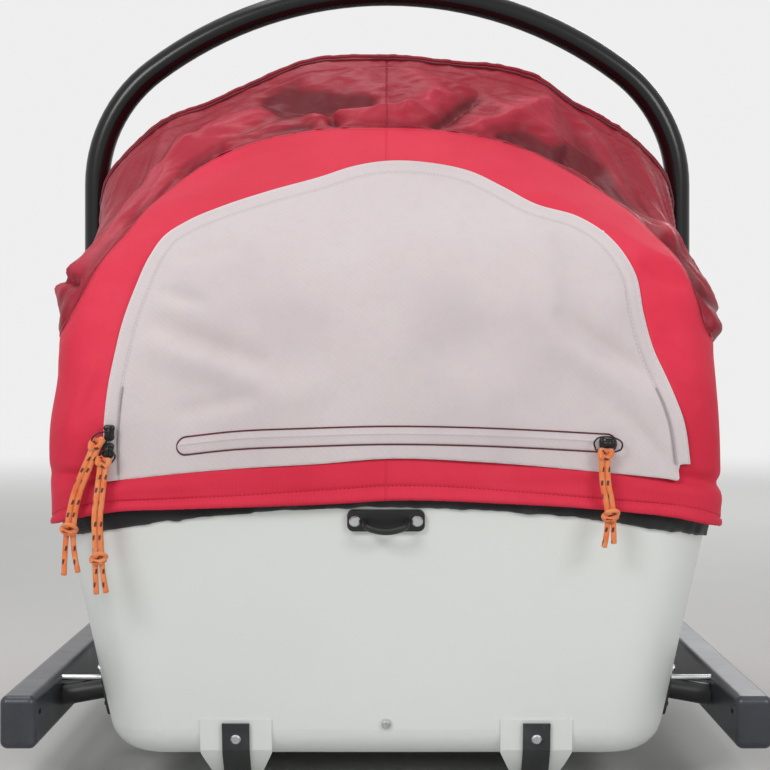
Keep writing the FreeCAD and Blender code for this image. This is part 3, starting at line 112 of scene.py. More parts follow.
def joined(parts):
    # several (points, quads) pairs in one
    points = np.concatenate([p for p, _ in parts])
    starts = np.cumsum([0] + [len(p) for p, _ in parts[:-1]])
    return points, np.concatenate([q + s for (_, q), s in zip(parts, starts)])


def tubeGrid(path, radius, sides=12, reference=(0.0, 1.0, 0.0), closed=False):
    # circle of the given radius carried along a path: point = path + radius * (cos a * side + sin a * up)
    path = np.asarray(path, float)
    if closed:
        along = np.roll(path, -1, 0) - np.roll(path, 1, 0)
    else:
        along = np.gradient(path, axis=0)
    along /= np.linalg.norm(along, axis=1, keepdims=True)
    side = np.cross(along, np.asarray(reference, float))
    side /= np.linalg.norm(side, axis=1, keepdims=True)
    up = np.cross(side, along)
    turn = np.linspace(0, 2 * pi, sides, endpoint=False)
    radius = np.broadcast_to(np.asarray(radius, float).reshape(-1, 1, 1), (len(path), 1, 1))
    ring = side[:, None] * np.cos(turn)[None, :, None] + up[:, None] * np.sin(turn)[None, :, None]
    return path[:, None] + radius * ring


def lengths(path):
    # running length along a path
    step = np.linalg.norm(np.diff(path, axis=0), axis=1)
    return np.concatenate([[0.0], np.cumsum(step)])


def tubeMesh(name, path, radius, sides=12, reference=(0.0, 1.0, 0.0), closed=False):
    # a closed tube with rounded-off ends; v of its UV map is the length in metres, u the turn
    path = np.asarray(path, float)
    radius = np.broadcast_to(np.asarray(radius, float), (len(path),)).copy()
    if not closed:
        path = np.concatenate([path[:1], path, path[-1:]])
        radius = np.concatenate([[radius[0] * 0.02], radius, [radius[-1] * 0.02]])
        path[0] += (path[1] - path[2]) / np.linalg.norm(path[1] - path[2]) * radius[1] * 0.25
        path[-1] += (path[-2] - path[-3]) / np.linalg.norm(path[-2] - path[-3]) * radius[-2] * 0.25
    points = tubeGrid(path, radius, sides, reference, closed)
    u = np.broadcast_to(np.linspace(0, 1, sides, endpoint=False), points.shape[:2])
    v = np.broadcast_to(lengths(path)[:, None], points.shape[:2])
    return gridMesh(name, points, np.stack([u, v], -1), closedAcross=True, closedAlong=closed)


def solidify(piece, thickness, offset=-1.0):
    # gives a sheet its thickness, inwards from its outer face
    wall = piece.modifiers.new("clothWall", "SOLIDIFY")
    wall.thickness = thickness
    wall.offset = offset
    wall.use_even_offset = False
    return piece


def rideOn(piece, body, slot, *replaced):
    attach(piece, body)
    if replaced:
        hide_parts(*replaced)
    return piece


# smooth lines and seeded noise

def smoothLine(x, knots, values):
    # cubic line through the knots whose slopes come from their neighbours
    knots, values = np.asarray(knots, float), np.asarray(values, float)
    slopes = np.gradient(values, knots)
    x = np.clip(x, knots[0], knots[-1])
    i = np.clip(np.searchsorted(knots, x, side="right") - 1, 0, len(knots) - 2)
    wide = knots[i + 1] - knots[i]
    t = (x - knots[i]) / wide
    return (values[i] * (1 + 2 * t) * (1 - t) ** 2 + values[i + 1] * t * t * (3 - 2 * t)
            + wide * t * (1 - t) * (slopes[i] * (1 - t) - slopes[i + 1] * t))


def smoothStep(x, low, high):
    t = np.clip((x - low) / (high - low), 0, 1)
    return t * t * (3 - 2 * t)


def softNoise(u, v, seed):
    # random heights on a square lattice, blended smoothly between its corners, from -1 to 1
    lattice = np.random.default_rng(seed).uniform(-1, 1, (64, 64))
    iu, iv = np.floor(u).astype(int), np.floor(v).astype(int)
    fu, fv = u - iu, v - iv
    fu, fv = fu * fu * fu * (fu * (fu * 6 - 15) + 10), fv * fv * fv * (fv * (fv * 6 - 15) + 10)
    a, b = lattice[iu % 64, iv % 64], lattice[(iu + 1) % 64, iv % 64]
    c, d = lattice[iu % 64, (iv + 1) % 64], lattice[(iu + 1) % 64, (iv + 1) % 64]
    return (a * (1 - fu) + b * fu) * (1 - fv) + (c * (1 - fu) + d * fu) * fv


def creases(u, v, seed, octaves=4):
    # sharp ridges where the noise passes nought, each octave finer and bent by the one before
    total, size, scale = 0.0, 1.0, 1.0
    bend = 0.0
    for octave in range(octaves):
        layer = 1 - 2 * np.abs(softNoise(u * scale + bend, v * scale - bend, seed + octave))
        total = total + layer * size
        bend = layer * 0.35
        size *= 0.52
        scale *= 1.9
    return total


def foldField(x, z, folds, power=2.0):
    # ridges and valleys along straight lines: height * exp(-(distance / width)^power), fading at both ends
    total = np.zeros_like(x)
    for x0, z0, x1, z1, width, height in folds:
        run = np.hypot(x1 - x0, z1 - z0)
        t = ((x - x0) * (x1 - x0) + (z - z0) * (z1 - z0)) / run ** 2
        inside = np.clip(t, 0, 1)
        gap = np.hypot(x - x0 - inside * (x1 - x0), z - z0 - inside * (z1 - z0))
        total += height * np.exp(-(gap / width) ** power) * np.sin(pi * np.clip(0.12 + 0.76 * t, 0, 1)) ** 0.7
    return total


def normalsOf(points):
    # unit normals of a grid, from its own slopes
    across, along = np.gradient(points, axis=1), np.gradient(points, axis=0)
    normal = np.cross(across, along)
    return normal / np.maximum(np.linalg.norm(normal, axis=-1, keepdims=True), 1e-12)


# zip pulls: two strands from a hitch on a wire ring to a knot, their routes as in the CAD source

pulls = {
    "radius": 0.0022, "apart": 0.00225,
    "side_slider_upper": {
        "both": ((-0.225, -0.610, 0.284), (-0.233, -0.609, 0.266), (-0.241, -0.6085, 0.246), (-0.245, -0.608, 0.226)),
        "a": ((-0.2495, -0.608, 0.205), (-0.250, -0.609, 0.184)),
        "b": ((-0.2435, -0.608, 0.205), (-0.2395, -0.607, 0.186)),
        "knot": (-0.2462, -0.6085, 0.2195), "knotLean": -0.15, "hitchLean": 0.45,
        "lengths": (0.099, 0.099),
    },
    "side_slider_lower": {
        "both": ((-0.2195, -0.610, 0.270), (-0.2215, -0.6125, 0.250), (-0.2240, -0.614, 0.228),
                 (-0.2225, -0.6145, 0.206)),
        "a": ((-0.2250, -0.6145, 0.186), (-0.2240, -0.615, 0.170)),
        "b": ((-0.2195, -0.6145, 0.186), (-0.2165, -0.614, 0.171)),
        "knot": (-0.2222, -0.6145, 0.1975), "knotLean": 0.12, "hitchLean": -0.1,
        "lengths": (0.098, 0.097),
    },
    "pocket_slider": {
        "both": ((0.1698, -0.611, 0.276), (0.1690, -0.6125, 0.258), (0.1735, -0.613, 0.240)),
        "a": ((0.1722, -0.613, 0.222), (0.1690, -0.613, 0.206)),
        "b": ((0.1762, -0.613, 0.223), (0.1765, -0.6135, 0.209)),
        "knot": (0.1742, -0.6132, 0.2305), "knotLean": 0.2, "hitchLean": 0.15,
        "lengths": (0.068, 0.066),
    },
}


def routeLine(name, points):
    # points along the NURBS line that has the route as its control points
    curve = bpy.data.curves.new(name, "CURVE")
    curve.dimensions = "3D"
    spline = curve.splines.new("NURBS")
    spline.points.add(len(points) - 1)
    spline.points.foreach_set("co", np.column_stack([points, np.ones(len(points))]).ravel())
    spline.use_endpoint_u = True
    spline.order_u = 3
    spline.resolution_u = 20
    holder = bpy.data.objects.new(name, curve)
    bpy.context.scene.collection.objects.link(holder)
    line = bpy.data.meshes.new_from_object(holder)
    read = np.zeros(len(line.vertices) * 3)
    line.vertices.foreach_get("co", read)
    bpy.data.objects.remove(holder)
    bpy.data.meshes.remove(line)
    return read.reshape(-1, 3)


def makeKnot(name, centre, radius, lean):
    # cord wound one and a half times round the strands, tucked in at both ends
    t = np.linspace(0, 1, 90)
    turn = pi * (0.9 + 3.5 * t)
    reach = radius * (0.75 + 1.35 * np.sin(pi * t) ** 0.35)
    x = 1.15 * reach * np.cos(turn)
    z = radius * (1.75 * np.cos(pi * t)) + 0.42 * x * np.cos(2.2 * pi * t) + lean * x
    path = np.array(centre) + np.stack([x, 0.85 * reach * np.sin(turn), z], -1)
    return tubeMesh(name, path, radius * (0.94 + 0.1 * np.sin(pi * t)), 14, reference=(0, 0, 1))


def makeHitch(name, start, radius, lean):
    # loop of cord laid round the two strands where they pass through the ring
    t = np.linspace(0, 2 * pi, 72, endpoint=False)
    x = 1.95 * radius * np.cos(t) + 0.25 * radius * np.cos(2 * t)
    z = 1.25 * radius * np.sin(t) + 0.35 * radius * np.cos(3 * t) + 0.9 * radius
    y = -0.55 * radius - 0.6 * radius * np.cos(2 * t) + 0.7 * radius * np.sin(t)
    path = np.array(start) + np.stack([x, y, z + lean * x], -1)
    return tubeMesh(name, path, radius * (1.05 + 0.08 * np.sin(3 * t)), 14, reference=(0, 1, 0), closed=True)


def makePull(label):
    p = pulls[label]
    body = label + "_body"
    knot = makeKnot(label + "Knot", p["knot"], pulls["radius"], p["knotLean"])
    hitch = makeHitch(label + "Hitch", p["both"][0], pulls["radius"], p["hitchLean"])
    rideOn(knot, body, "pull_cord", label + "_knot")
    rideOn(hitch, body, "pull_cord")
    strands = []
    for word, side, length in zip("ab", (-1, 1), p["lengths"]):
        both = np.array(p["both"]) + [side * pulls["apart"], 0, 0]
        line = routeLine(label + "Route", np.concatenate([both, p[word]]))
        strand = tubeMesh(label + "Strand" + word.upper(), line, pulls["radius"], 16)
        rideOn(strand, body, "pull_cord", label + "_strand_" + word)
        strands.append(strand)
    return strands + [knot, hitch]


upperPull = makePull("side_slider_upper")
lowerPull = makePull("side_slider_lower")
pocketPull = makePull("pocket_slider")
print("zip pulls made")


# zip sliders: a rounded body on the coil and a bent wire ring that carries the cord

sliders = {
    "wire": 0.0007,
    "side_slider_upper": {"place": (-0.2150, -0.6078, 0.2945), "size": (0.0045, 0.0032, 0.0064), "turn": 0.0,
                          "ring": ((-0.2165, 0.2955), (-0.2230, 0.2945), (-0.2275, 0.2905), (-0.2280, 0.2850),
                                   (-0.2240, 0.2825), (-0.2190, 0.2850), (-0.2150, 0.2915))},
    "side_slider_lower": {"place": (-0.2160, -0.6078, 0.2805), "size": (0.0050, 0.0032, 0.0062), "turn": 0.0,
                          "ring": ((-0.2130, 0.2820), (-0.2100, 0.2760), (-0.2140, 0.2705), (-0.2195, 0.2690),
                                   (-0.2235, 0.2715), (-0.2225, 0.2765), (-0.2175, 0.2815))},
    "pocket_slider": {"place": (0.1722, -0.6078, 0.2865), "size": (0.0066, 0.0032, 0.0046), "turn": 0.1,
                      "ring": ((0.1625, 0.2820), (0.1615, 0.2870), (0.1650, 0.2908), (0.1720, 0.2915),
                               (0.1790, 0.2900), (0.1832, 0.2865), (0.1820, 0.2815), (0.1750, 0.2795),
                               (0.1670, 0.2795))},
}


def makeSlider(label):
    f = sliders[label]
    # flattened rounded block: each of sine and cosine raised to a low power, waisted in the middle
    u, v = np.linspace(0, 2 * pi, 40, endpoint=False)[None], np.linspace(-pi / 2, pi / 2, 28)[:, None]
    bent = lambda a, power: np.sign(a) * np.abs(a) ** power
    longAxis = 2 if f["size"][2] > f["size"][0] else 0
    shape = [bent(np.cos(v), 0.55) * bent(np.cos(u), 0.6), bent(np.cos(v), 0.55) * bent(np.sin(u), 0.6),
             bent(np.sin(v), 0.6) + 0 * u]
    waist = 1 - 0.16 * np.exp(-(np.sin(v) / 0.25) ** 2) + 0.10 * np.sin(v)
    shape = [shape[0] * waist, shape[1] * waist, shape[2]]
    if longAxis == 0:
        shape = [-shape[2], shape[1], shape[0]]
    points = np.stack([part * size for part, size in zip(shape, f["size"])], -1)
    parts = [gridFaces(points + f["place"], closedAcross=True)]
    # bail over the top that the ring runs through
    t = np.linspace(0, pi, 24)
    bail = np.stack([0 * t, -0.0030 * np.sin(t) - 0.0018, 0.0042 * np.cos(t)], -1)
    if longAxis == 0:
        bail = bail[:, [2, 1, 0]]
    parts.append(gridFaces(tubeGrid(bail + f["place"], 0.0011, 10, (1, 0, 0) if longAxis == 2 else (0, 0, 1)),
                           closedAcross=True))
    ring = np.array(f["ring"])
    count = np.arange(len(ring) + 1)
    at = np.linspace(0, len(ring), 80, endpoint=False)
    looped = np.vstack([ring, ring[:1]])
    x, z = (smoothLine(at, count, looped[:, k]) for k in (0, 1))
    y = f["place"][1] - 0.0036 - 0.0004 * np.sin(2 * pi * at / len(ring))
    parts.append(gridFaces(tubeGrid(np.stack([x, y + 0 * x, z], -1), sliders["wire"], 10, (0, 1, 0), closed=True),
                           closedAcross=True, closedAlong=True))
    points, quads = joined(parts)
    piece = meshObject(label + "Metal", points, quads)
    rideOn(piece, label + "_body", "zip_metal", label)
    return piece


zipSliders = [makeSlider(label) for label in ("side_slider_upper", "side_slider_lower", "pocket_slider")]
print("sliders made")


# canopy dome: arches in planes that fan out from one line across the sled

dome = {
    "axisY": -0.300, "axisZ": 0.100,
    "half": 0.267,
    "profile": ((-0.6015, 0.190), (-0.6015, 0.245), (-0.6005, 0.305), (-0.586, 0.370),
                (-0.549, 0.443), (-0.488, 0.501), (-0.400, 0.556), (-0.300, 0.637)),
    "cornerLow": 0.040, "cornerHigh": 0.058,
    "crownFlat": 0.0016, "crownHigh": 0.0824, "crownStart": 34.0,
    "hem": ((-0.267, 0.2205), (-0.259, 0.2222), (-0.243, 0.2265), (-0.2149, 0.2318), (-0.1667, 0.2340),
            (-0.110, 0.2358), (-0.0327, 0.2390), (0.000, 0.2410), (0.095, 0.2385), (0.1519, 0.2352),
            (0.190, 0.2318), (0.229, 0.2270), (0.254, 0.2215), (0.267, 0.2190)),
    # seam between red and dark cloth as the camera sees it, carried to one upright plane
    "seamPlane": -0.500,
    "seam": ((-0.2750, 0.3500), (-0.2760, 0.3628), (-0.2628, 0.3870), (-0.2503, 0.4095), (-0.2336, 0.4387),
             (-0.2153, 0.4570), (-0.1994, 0.4770), (-0.1786, 0.4953), (-0.1586, 0.5103), (-0.1178, 0.5303),
             (-0.0761, 0.5403), (-0.0011, 0.5445), (0.0497, 0.5420), (0.0889, 0.5345), (0.1214, 0.5245),
             (0.1522, 0.5078), (0.1830, 0.4895), (0.2139, 0.4653), (0.2339, 0.4445), (0.2505, 0.4245),
             (0.2589, 0.3995), (0.2647, 0.3687), (0.2672, 0.3445)),
    "cloth": 0.0022,
}

profileY, profileZ = np.array(dome["profile"]).T
profileAngle = np.degrees(np.arctan2(profileZ - dome["axisZ"], dome["axisY"] - profileY))
profileReach = np.hypot(profileY - dome["axisY"], profileZ - dome["axisZ"])


def domeArch(angle):
    # reach, rise and corner of the arch in one fan plane, as in the CAD source
    reach = smoothLine(angle, profileAngle, profileReach)
    share = np.clip((angle - profileAngle[0]) / (90 - profileAngle[0]), 0, 1)
    doming = np.clip((angle - dome["crownStart"]) / (90 - dome["crownStart"]), 0, 1)
    corner = dome["cornerLow"] + (dome["cornerHigh"] - dome["cornerLow"]) * share ** 2
    rise = corner + dome["crownFlat"] + dome["crownHigh"] * doming ** 1.2
    half = dome["half"]
    crown = ((half - corner) ** 2 + rise ** 2 - corner ** 2) / (2 * (rise - corner))
    meet = np.arctan2(reach - rise - (reach - crown), half - corner)
    return reach, rise, corner, crown, meet


def hemHeight(x):
    # lower edge of the cloth: nearly level behind, dropping at both corners
    return smoothLine(x, *zip(*dome["hem"]))


def domePoint(angle, side):
    # point at a share of the arch's half length from its top: crown arc, then corner arc, then leg
    reach, rise, corner, crown, meet = domeArch(angle)
    turn = np.radians(angle)
    spring = reach - rise
    foot = (hemHeight(dome["half"]) - dome["axisZ"]) / np.sin(turn)
    leg = np.maximum(spring - foot, 0)
    crownRun, cornerRun = crown * (pi / 2 - meet), corner * meet
    run = np.abs(side) * (crownRun + cornerRun + leg)
    lean = run / crown
    bend = meet - (run - crownRun) / corner
    onCrown, onCorner = run < crownRun, run < crownRun + cornerRun
    x = np.where(onCrown, crown * np.sin(lean),
                 np.where(onCorner, dome["half"] - corner + corner * np.cos(bend), dome["half"]))
    r = np.where(onCrown, reach - crown + crown * np.cos(lean),
                 np.where(onCorner, spring + corner * np.sin(bend), spring - (run - crownRun - cornerRun)))
    x = x * np.sign(side)
    return np.stack([x, dome["axisY"] - r * np.cos(turn), dome["axisZ"] + r * np.sin(turn)], -1), run * np.sign(side)


def domeRear(x, z):
    # point of the dome straight ahead of a rear-view place: the fan angle is found by halving
    low, high = np.full(x.shape, 8.0), np.full(x.shape, 90.0)
    for _ in range(34):
        angle = (low + high) / 2
        r = domeReachAt(angle, x)
        above = dome["axisZ"] + r * np.sin(np.radians(angle)) > z
        high, low = np.where(above, angle, high), np.where(above, low, angle)
    r = domeReachAt(angle, x)
    return np.stack([x, dome["axisY"] - r * np.cos(np.radians(angle)), z], -1)


def domeReachAt(angle, x):
    # distance from the fan line to the dome at a fan angle and a distance from the middle
    reach, rise, corner, crown, meet = domeArch(angle)
    wide = np.abs(x)
    inCorner = np.sqrt(np.maximum(corner ** 2 - (wide - dome["half"] + corner) ** 2, 0))
    onCrown = wide < dome["half"] - corner + corner * np.cos(meet)
    return np.where(onCrown, reach - crown + np.sqrt(np.maximum(crown ** 2 - wide ** 2, 0)),
                    reach - rise + inCorner)


def firstAngle(test, side, angles):
    # smallest fan angle at which a test of the point turns true, for each column
    points, _ = domePoint(angles[:, None], side[None, :])
    good = test(points)
    first = np.argmax(good, axis=0)
    first = np.where(good.any(axis=0), first, len(angles) - 1)
    return angles[first]


domeAngles = np.linspace(profileAngle[1] - 6, 90, 1800)
domeColumns = np.linspace(-1, 1, 331)
hemAngle = firstAngle(lambda p: p[..., 2] >= hemHeight(p[..., 0]) - 1e-7, domeColumns, domeAngles)


def onSeamPlane(p):
    # where the camera's line to a point meets the upright plane of the seam's outline
    eyeX, eyeY, eyeZ = cameraView["place"]
    share = (dome["seamPlane"] - eyeY) / (p[..., 1] - eyeY)
    return eyeX + (p[..., 0] - eyeX) * share, eyeZ + (p[..., 2] - eyeZ) * share


def behindSeam(p):
    x, z = onSeamPlane(p)
    onWall = (np.abs(p[..., 0]) > 0.262) & (p[..., 1] > -0.520)
    return ((z > smoothLine(x, *zip(*dome["seam"][1:-1]))) | onWall) & (p[..., 2] > 0.346)


def evened(values, reach):
    # mean over a few neighbours on each side, the ends repeated
    padded = np.pad(values, reach, mode="edge")
    return np.convolve(padded, np.full(2 * reach + 1, 1 / (2 * reach + 1)), mode="valid")


seamAngle = evened(evened(firstAngle(behindSeam, domeColumns, domeAngles), 3), 3)


# folds in the red body cloth and the dark hood, in metres seen from behind

redFolds = {
    "placed": (     # x, z of both ends, width, height
        (-0.2403, 0.3000, -0.2273, 0.3350, 0.0060, -0.0022), (-0.2503, 0.2850, -0.2313, 0.3450, 0.0090, 0.0030),
        (-0.2313, 0.3920, -0.1853, 0.4550, 0.0120, -0.0030), (-0.2573, 0.3500, -0.2173, 0.4250, 0.0140, 0.0030),
        (0.2107, 0.4250, 0.2407, 0.4120, 0.0070, -0.0045), (0.2047, 0.4370, 0.2497, 0.4210, 0.0100, 0.0030),
        (0.2157, 0.3660, 0.2407, 0.3460, 0.0040, -0.0022), (0.2187, 0.3760, 0.2307, 0.3690, 0.0040, -0.0018),
        (0.2247, 0.3460, 0.2367, 0.3380, 0.0035, -0.0018), (0.2267, 0.3350, 0.2447, 0.3180, 0.0050, -0.0018),
        (-0.0953, 0.5120, 0.1547, 0.5000, 0.0120, -0.0028), (-0.2053, 0.4700, -0.1053, 0.5200, 0.0140, 0.0032),
        (0.1247, 0.4970, 0.2247, 0.4320, 0.0130, 0.0036), (-0.2633, 0.2620, -0.2103, 0.2580, 0.0050, -0.0050),
        (0.2197, 0.2620, 0.2727, 0.2520, 0.0050, -0.0050), (-0.1953, 0.2460, 0.2247, 0.2560, 0.0050, -0.0012),
        (0.1547, 0.2620, 0.2667, 0.2400, 0.0060, 0.0018), (-0.2573, 0.2460, -0.1453, 0.2520, 0.0060, 0.0016),
    ),
    "soft": 0.0024, "softSize": 0.075,
    "pucker": 0.0006, "puckerSize": 0.007,
    # below the panel the cloth is drawn in, more so away from the bow
    "tuck": 0.0030, "deepTuck": 0.0080, "bowZ": 0.470,
    # a rolled hem: height above the edge, half width and rise of the roll, then of its stitch line
    "roll": (0.004, 0.0035, 0.0014), "rollStitch": (0.0105, 0.0018, -0.0011),
}
hoodFolds = {
    "placed": (     # x, z of both ends as seen from behind, width, height
        (-0.190, 0.536, -0.110, 0.580, 0.010, 0.0070), (-0.176, 0.520, -0.070, 0.560, 0.009, -0.0080),
        (-0.150, 0.530, -0.060, 0.552, 0.007, 0.0060), (-0.110, 0.595, -0.020, 0.590, 0.012, -0.0100),
        (-0.070, 0.572, 0.050, 0.570, 0.007, 0.0070), (-0.060, 0.585, -0.036, 0.548, 0.006, -0.0060),
        (-0.215, 0.470, -0.150, 0.530, 0.008, -0.0090), (-0.230, 0.478, -0.175, 0.545, 0.008, 0.0080),
        (-0.245, 0.440, -0.190, 0.512, 0.007, 0.0060), (-0.136, 0.506, -0.150, 0.540, 0.005, -0.0050),
        (0.010, 0.560, 0.050, 0.600, 0.008, 0.0060), (0.030, 0.550, 0.085, 0.598, 0.007, -0.0070),
        (0.070, 0.552, 0.150, 0.588, 0.009, 0.0080), (0.095, 0.560, 0.195, 0.520, 0.010, -0.0110),
        (0.115, 0.540, 0.185, 0.500, 0.007, 0.0060), (0.165, 0.545, 0.235, 0.475, 0.010, -0.0110),
        (0.160, 0.515, 0.215, 0.470, 0.006, 0.0065), (0.200, 0.520, 0.245, 0.455, 0.008, 0.0070),
        (0.215, 0.470, 0.250, 0.420, 0.006, -0.0060), (0.238, 0.452, 0.268, 0.385, 0.006, -0.0090),
        (0.252, 0.430, 0.276, 0.372, 0.006, 0.0060), (-0.262, 0.440, -0.232, 0.470, 0.006, -0.0060),
        (-0.272, 0.400, -0.245, 0.435, 0.006, 0.0050), (-0.270, 0.418, -0.250, 0.412, 0.004, -0.0060),
    ),
    "sag": 0.0060,
    "long": 0.0040, "longSize": (0.110, 0.040),
    "fine": 0.0012, "fineSize": (0.045, 0.017),
    "pucker": 0.0013, "puckerSize": 0.0075, "puckerReach": 0.022,
    "edgeRise": ((-0.2623, 0.000), (-0.2128, 0.005), (-0.1653, -0.004), (-0.1333, -0.004), (-0.0753, 0.002),
                 (-0.0023, -0.001), (0.0677, -0.001), (0.1137, 0.006), (0.1457, 0.007), (0.1687, 0.001),
                 (0.1957, 0.002), (0.2277, 0.005), (0.2717, 0.000)),
    "sideBag": ((-0.268, 0.405, 0.030, 0.0050), (0.270, 0.390, 0.028, 0.0100)),
}


def domeSheet(fromAngle, toAngle, rows, columns):
    # grid of fan angles between two edges, with the arch and profile lengths at every point
    t = np.linspace(0, 1, rows)[:, None]
    angle = fromAngle + (toAngle - fromAngle) * t
    points, across = domePoint(angle, np.broadcast_to(columns, angle.shape))
    step = np.linalg.norm(np.diff(points, axis=0), axis=-1)
    up = np.concatenate([np.zeros((1, len(columns))), np.cumsum(step, axis=0)])
    return points, across, up, t


def sheetFolds(points, across, seed, f):
    # placed folds plus wide soft unevenness
    x, z = points[..., 0], points[..., 2]
    soft = softNoise(across / f["softSize"] + 7, z / f["softSize"] * 1.3, seed)
    return foldField(x, z, f["placed"]) + f["soft"] * soft


# grey panel over the rear: its four edges seen from behind, joined corner to corner

panel = {
    "bottom": ((-0.2198, 0.2560), (-0.1578, 0.2628), (-0.1101, 0.2667), (-0.0523, 0.2700), (-0.0008, 0.2740),
               (0.0757, 0.2714), (0.1524, 0.2651), (0.2197, 0.2583), (0.2282, 0.2573), (0.2292, 0.2690),
               (0.2375, 0.2698)),
    "left": ((-0.2198, 0.2560), (-0.2203, 0.2987), (-0.2178, 0.3315), (-0.2143, 0.3540), (-0.2103, 0.3770),
             (-0.2013, 0.4090), (-0.1929, 0.4334), (-0.1823, 0.4520)),
    "top": ((-0.1823, 0.4520), (-0.1651, 0.4646), (-0.1363, 0.4780), (-0.0970, 0.4920), (-0.0566, 0.5040),
            (-0.0273, 0.5148), (-0.0008, 0.5198), (0.0404, 0.5176), (0.0714, 0.5098), (0.0974, 0.4957),
            (0.1243, 0.4799), (0.1597, 0.4690), (0.1787, 0.4560)),
    "right": ((0.2375, 0.2698), (0.2327, 0.3026), (0.2227, 0.3315), (0.2110, 0.3597), (0.2052, 0.3870),
              (0.2015, 0.4190), (0.1934, 0.4374), (0.1787, 0.4560)),
    "thick": 0.0016, "above": 0.0020,
    "folds": (
        (-0.1833, 0.3810, -0.0993, 0.3480, 0.0095, -0.0064), (-0.1903, 0.3620, -0.0903, 0.3290, 0.0120, 0.0046),
        (0.1397, 0.3850, 0.2167, 0.3310, 0.0095, -0.0076), (0.1327, 0.3640, 0.2097, 0.3150, 0.0120, 0.0052),
        (0.1247, 0.4700, 0.1327, 0.3800, 0.0130, 0.0034), (-0.1803, 0.4050, -0.1453, 0.3960, 0.0070, -0.0034),
        (-0.1353, 0.3060, -0.0453, 0.3300, 0.0140, 0.0032), (-0.1603, 0.3100, -0.1053, 0.3220, 0.0070, -0.0030),
        (0.0247, 0.3500, 0.1147, 0.3720, 0.0220, -0.0034), (0.1847, 0.3100, 0.2267, 0.2620, 0.0070, -0.0034),
        (-0.1650, 0.4300, -0.1150, 0.4420, 0.0080, -0.0030), (-0.0300, 0.4900, 0.0500, 0.4820, 0.0120, -0.0026),
    ),
    "soft": 0.0022, "softSize": 0.085,
    # distance from the edge, half width and height of the stitched groove, the full rim and the lower edge
    "groove": (0.0105, 0.0016, -0.0008), "fullRim": (0.0050, 0.0034, 0.0006), "lowerEdge": (0.0, 0.0015, -0.0004),
}


def edgeLine(points, count):
    # evenly spaced places along a smooth line through the given points
    points = np.array(points)
    run = lengths(points)
    at = np.linspace(0, run[-1], count)
    return np.stack([smoothLine(at, run, points[:, 0]), smoothLine(at, run, points[:, 1])], -1)


def patchBetween(bottom, top, left, right):
    # places inside four edges: the two pairs blended, less the corners counted twice
    u = np.linspace(0, 1, len(bottom))[None, :, None]
    v = np.linspace(0, 1, len(left))[:, None, None]
    corners = ((1 - u) * (1 - v) * bottom[0] + u * (1 - v) * bottom[-1] + (1 - u) * v * top[0] + u * v * top[-1])
    return (1 - v) * bottom[None] + v * top[None] + (1 - u) * left[:, None] + u * right[:, None] - corners


def nearest(places, line):
    # distance from each place to a line of points, and how far along that line it is
    gap = np.linalg.norm(places.reshape(-1, 1, 2) - line[None], axis=-1)
    best = gap.argmin(axis=1)
    return gap.min(axis=1).reshape(places.shape[:2]), lengths(line)[best].reshape(places.shape[:2])


panelRim = edgeLine(panel["left"] + panel["top"][1:] + panel["right"][-2::-1], 640)


def rimShare(corner):
    # place along the rim nearest to one of its corners
    return int(np.linalg.norm(panelRim - np.array(corner), axis=1).argmin())


rimCuts = rimShare(panel["left"][-1]), rimShare(panel["right"][-1])
panelEdges = {
    "left": edgeLine(panelRim[:rimCuts[0] + 1], 130),
    "top": edgeLine(panelRim[rimCuts[0]:rimCuts[1] + 1], 210),
    "right": edgeLine(panelRim[rimCuts[1]:][::-1], 130),
    "bottom": edgeLine(panel["bottom"], 210),
}
panelAround = np.concatenate([panelRim, edgeLine(panel["bottom"], 120)[::-1]])


def underPanel(x, z):
    # 1 well inside the panel's outline and 0 outside it
    angle = np.arctan2(panelAround[:, 1] - 0.38, panelAround[:, 0])
    order = np.argsort(angle)
    reach = np.hypot(panelAround[:, 0], panelAround[:, 1] - 0.38)[order]
    limit = np.interp(np.arctan2(z - 0.38, x), angle[order], reach, period=2 * pi)
    return smoothStep(limit - np.hypot(x, z - 0.38), 0.0, 0.014)


def makeRedCloth():
    points, across, up, _ = domeSheet(hemAngle, seamAngle, 138, domeColumns)
    total = up[-1]
    lift = sheetFolds(points, across, 11, redFolds)
    hidden = underPanel(points[..., 0], points[..., 2]) * (points[..., 1] < -0.40)
    deeper = redFolds["tuck"] + redFolds["deepTuck"] * smoothStep(redFolds["bowZ"] - points[..., 2], 0.0, 0.05)
    lift = lift * (1 - hidden) - deeper * hidden
    toSeam = total - up
    pucker = softNoise(across / redFolds["puckerSize"], up / 0.03, 21) * np.exp(-toSeam / 0.010)
    lift += redFolds["pucker"] * pucker
    # flat where it is sewn to the hood, and a rolled hem that stands a little proud
    lift *= smoothStep(toSeam, 0.0, 0.02) * 0.9 + 0.1
    hem = sum(high * np.exp(-((up - at) / wide) ** 2)
              for at, wide, high in (redFolds["roll"], redFolds["rollStitch"]))
    points = points + normalsOf(points) * (lift + hem)[..., None]
    uv = np.stack([across, up], -1)
    cloth = gridMesh("redBodyCloth", points, uv, extra={"toSeam": toSeam, "toHem": up + 0 * across, "middle": across})
    solidify(cloth, dome["cloth"])
    rideOn(cloth, "root", "red_cloth", "canopy_rear")
    return cloth


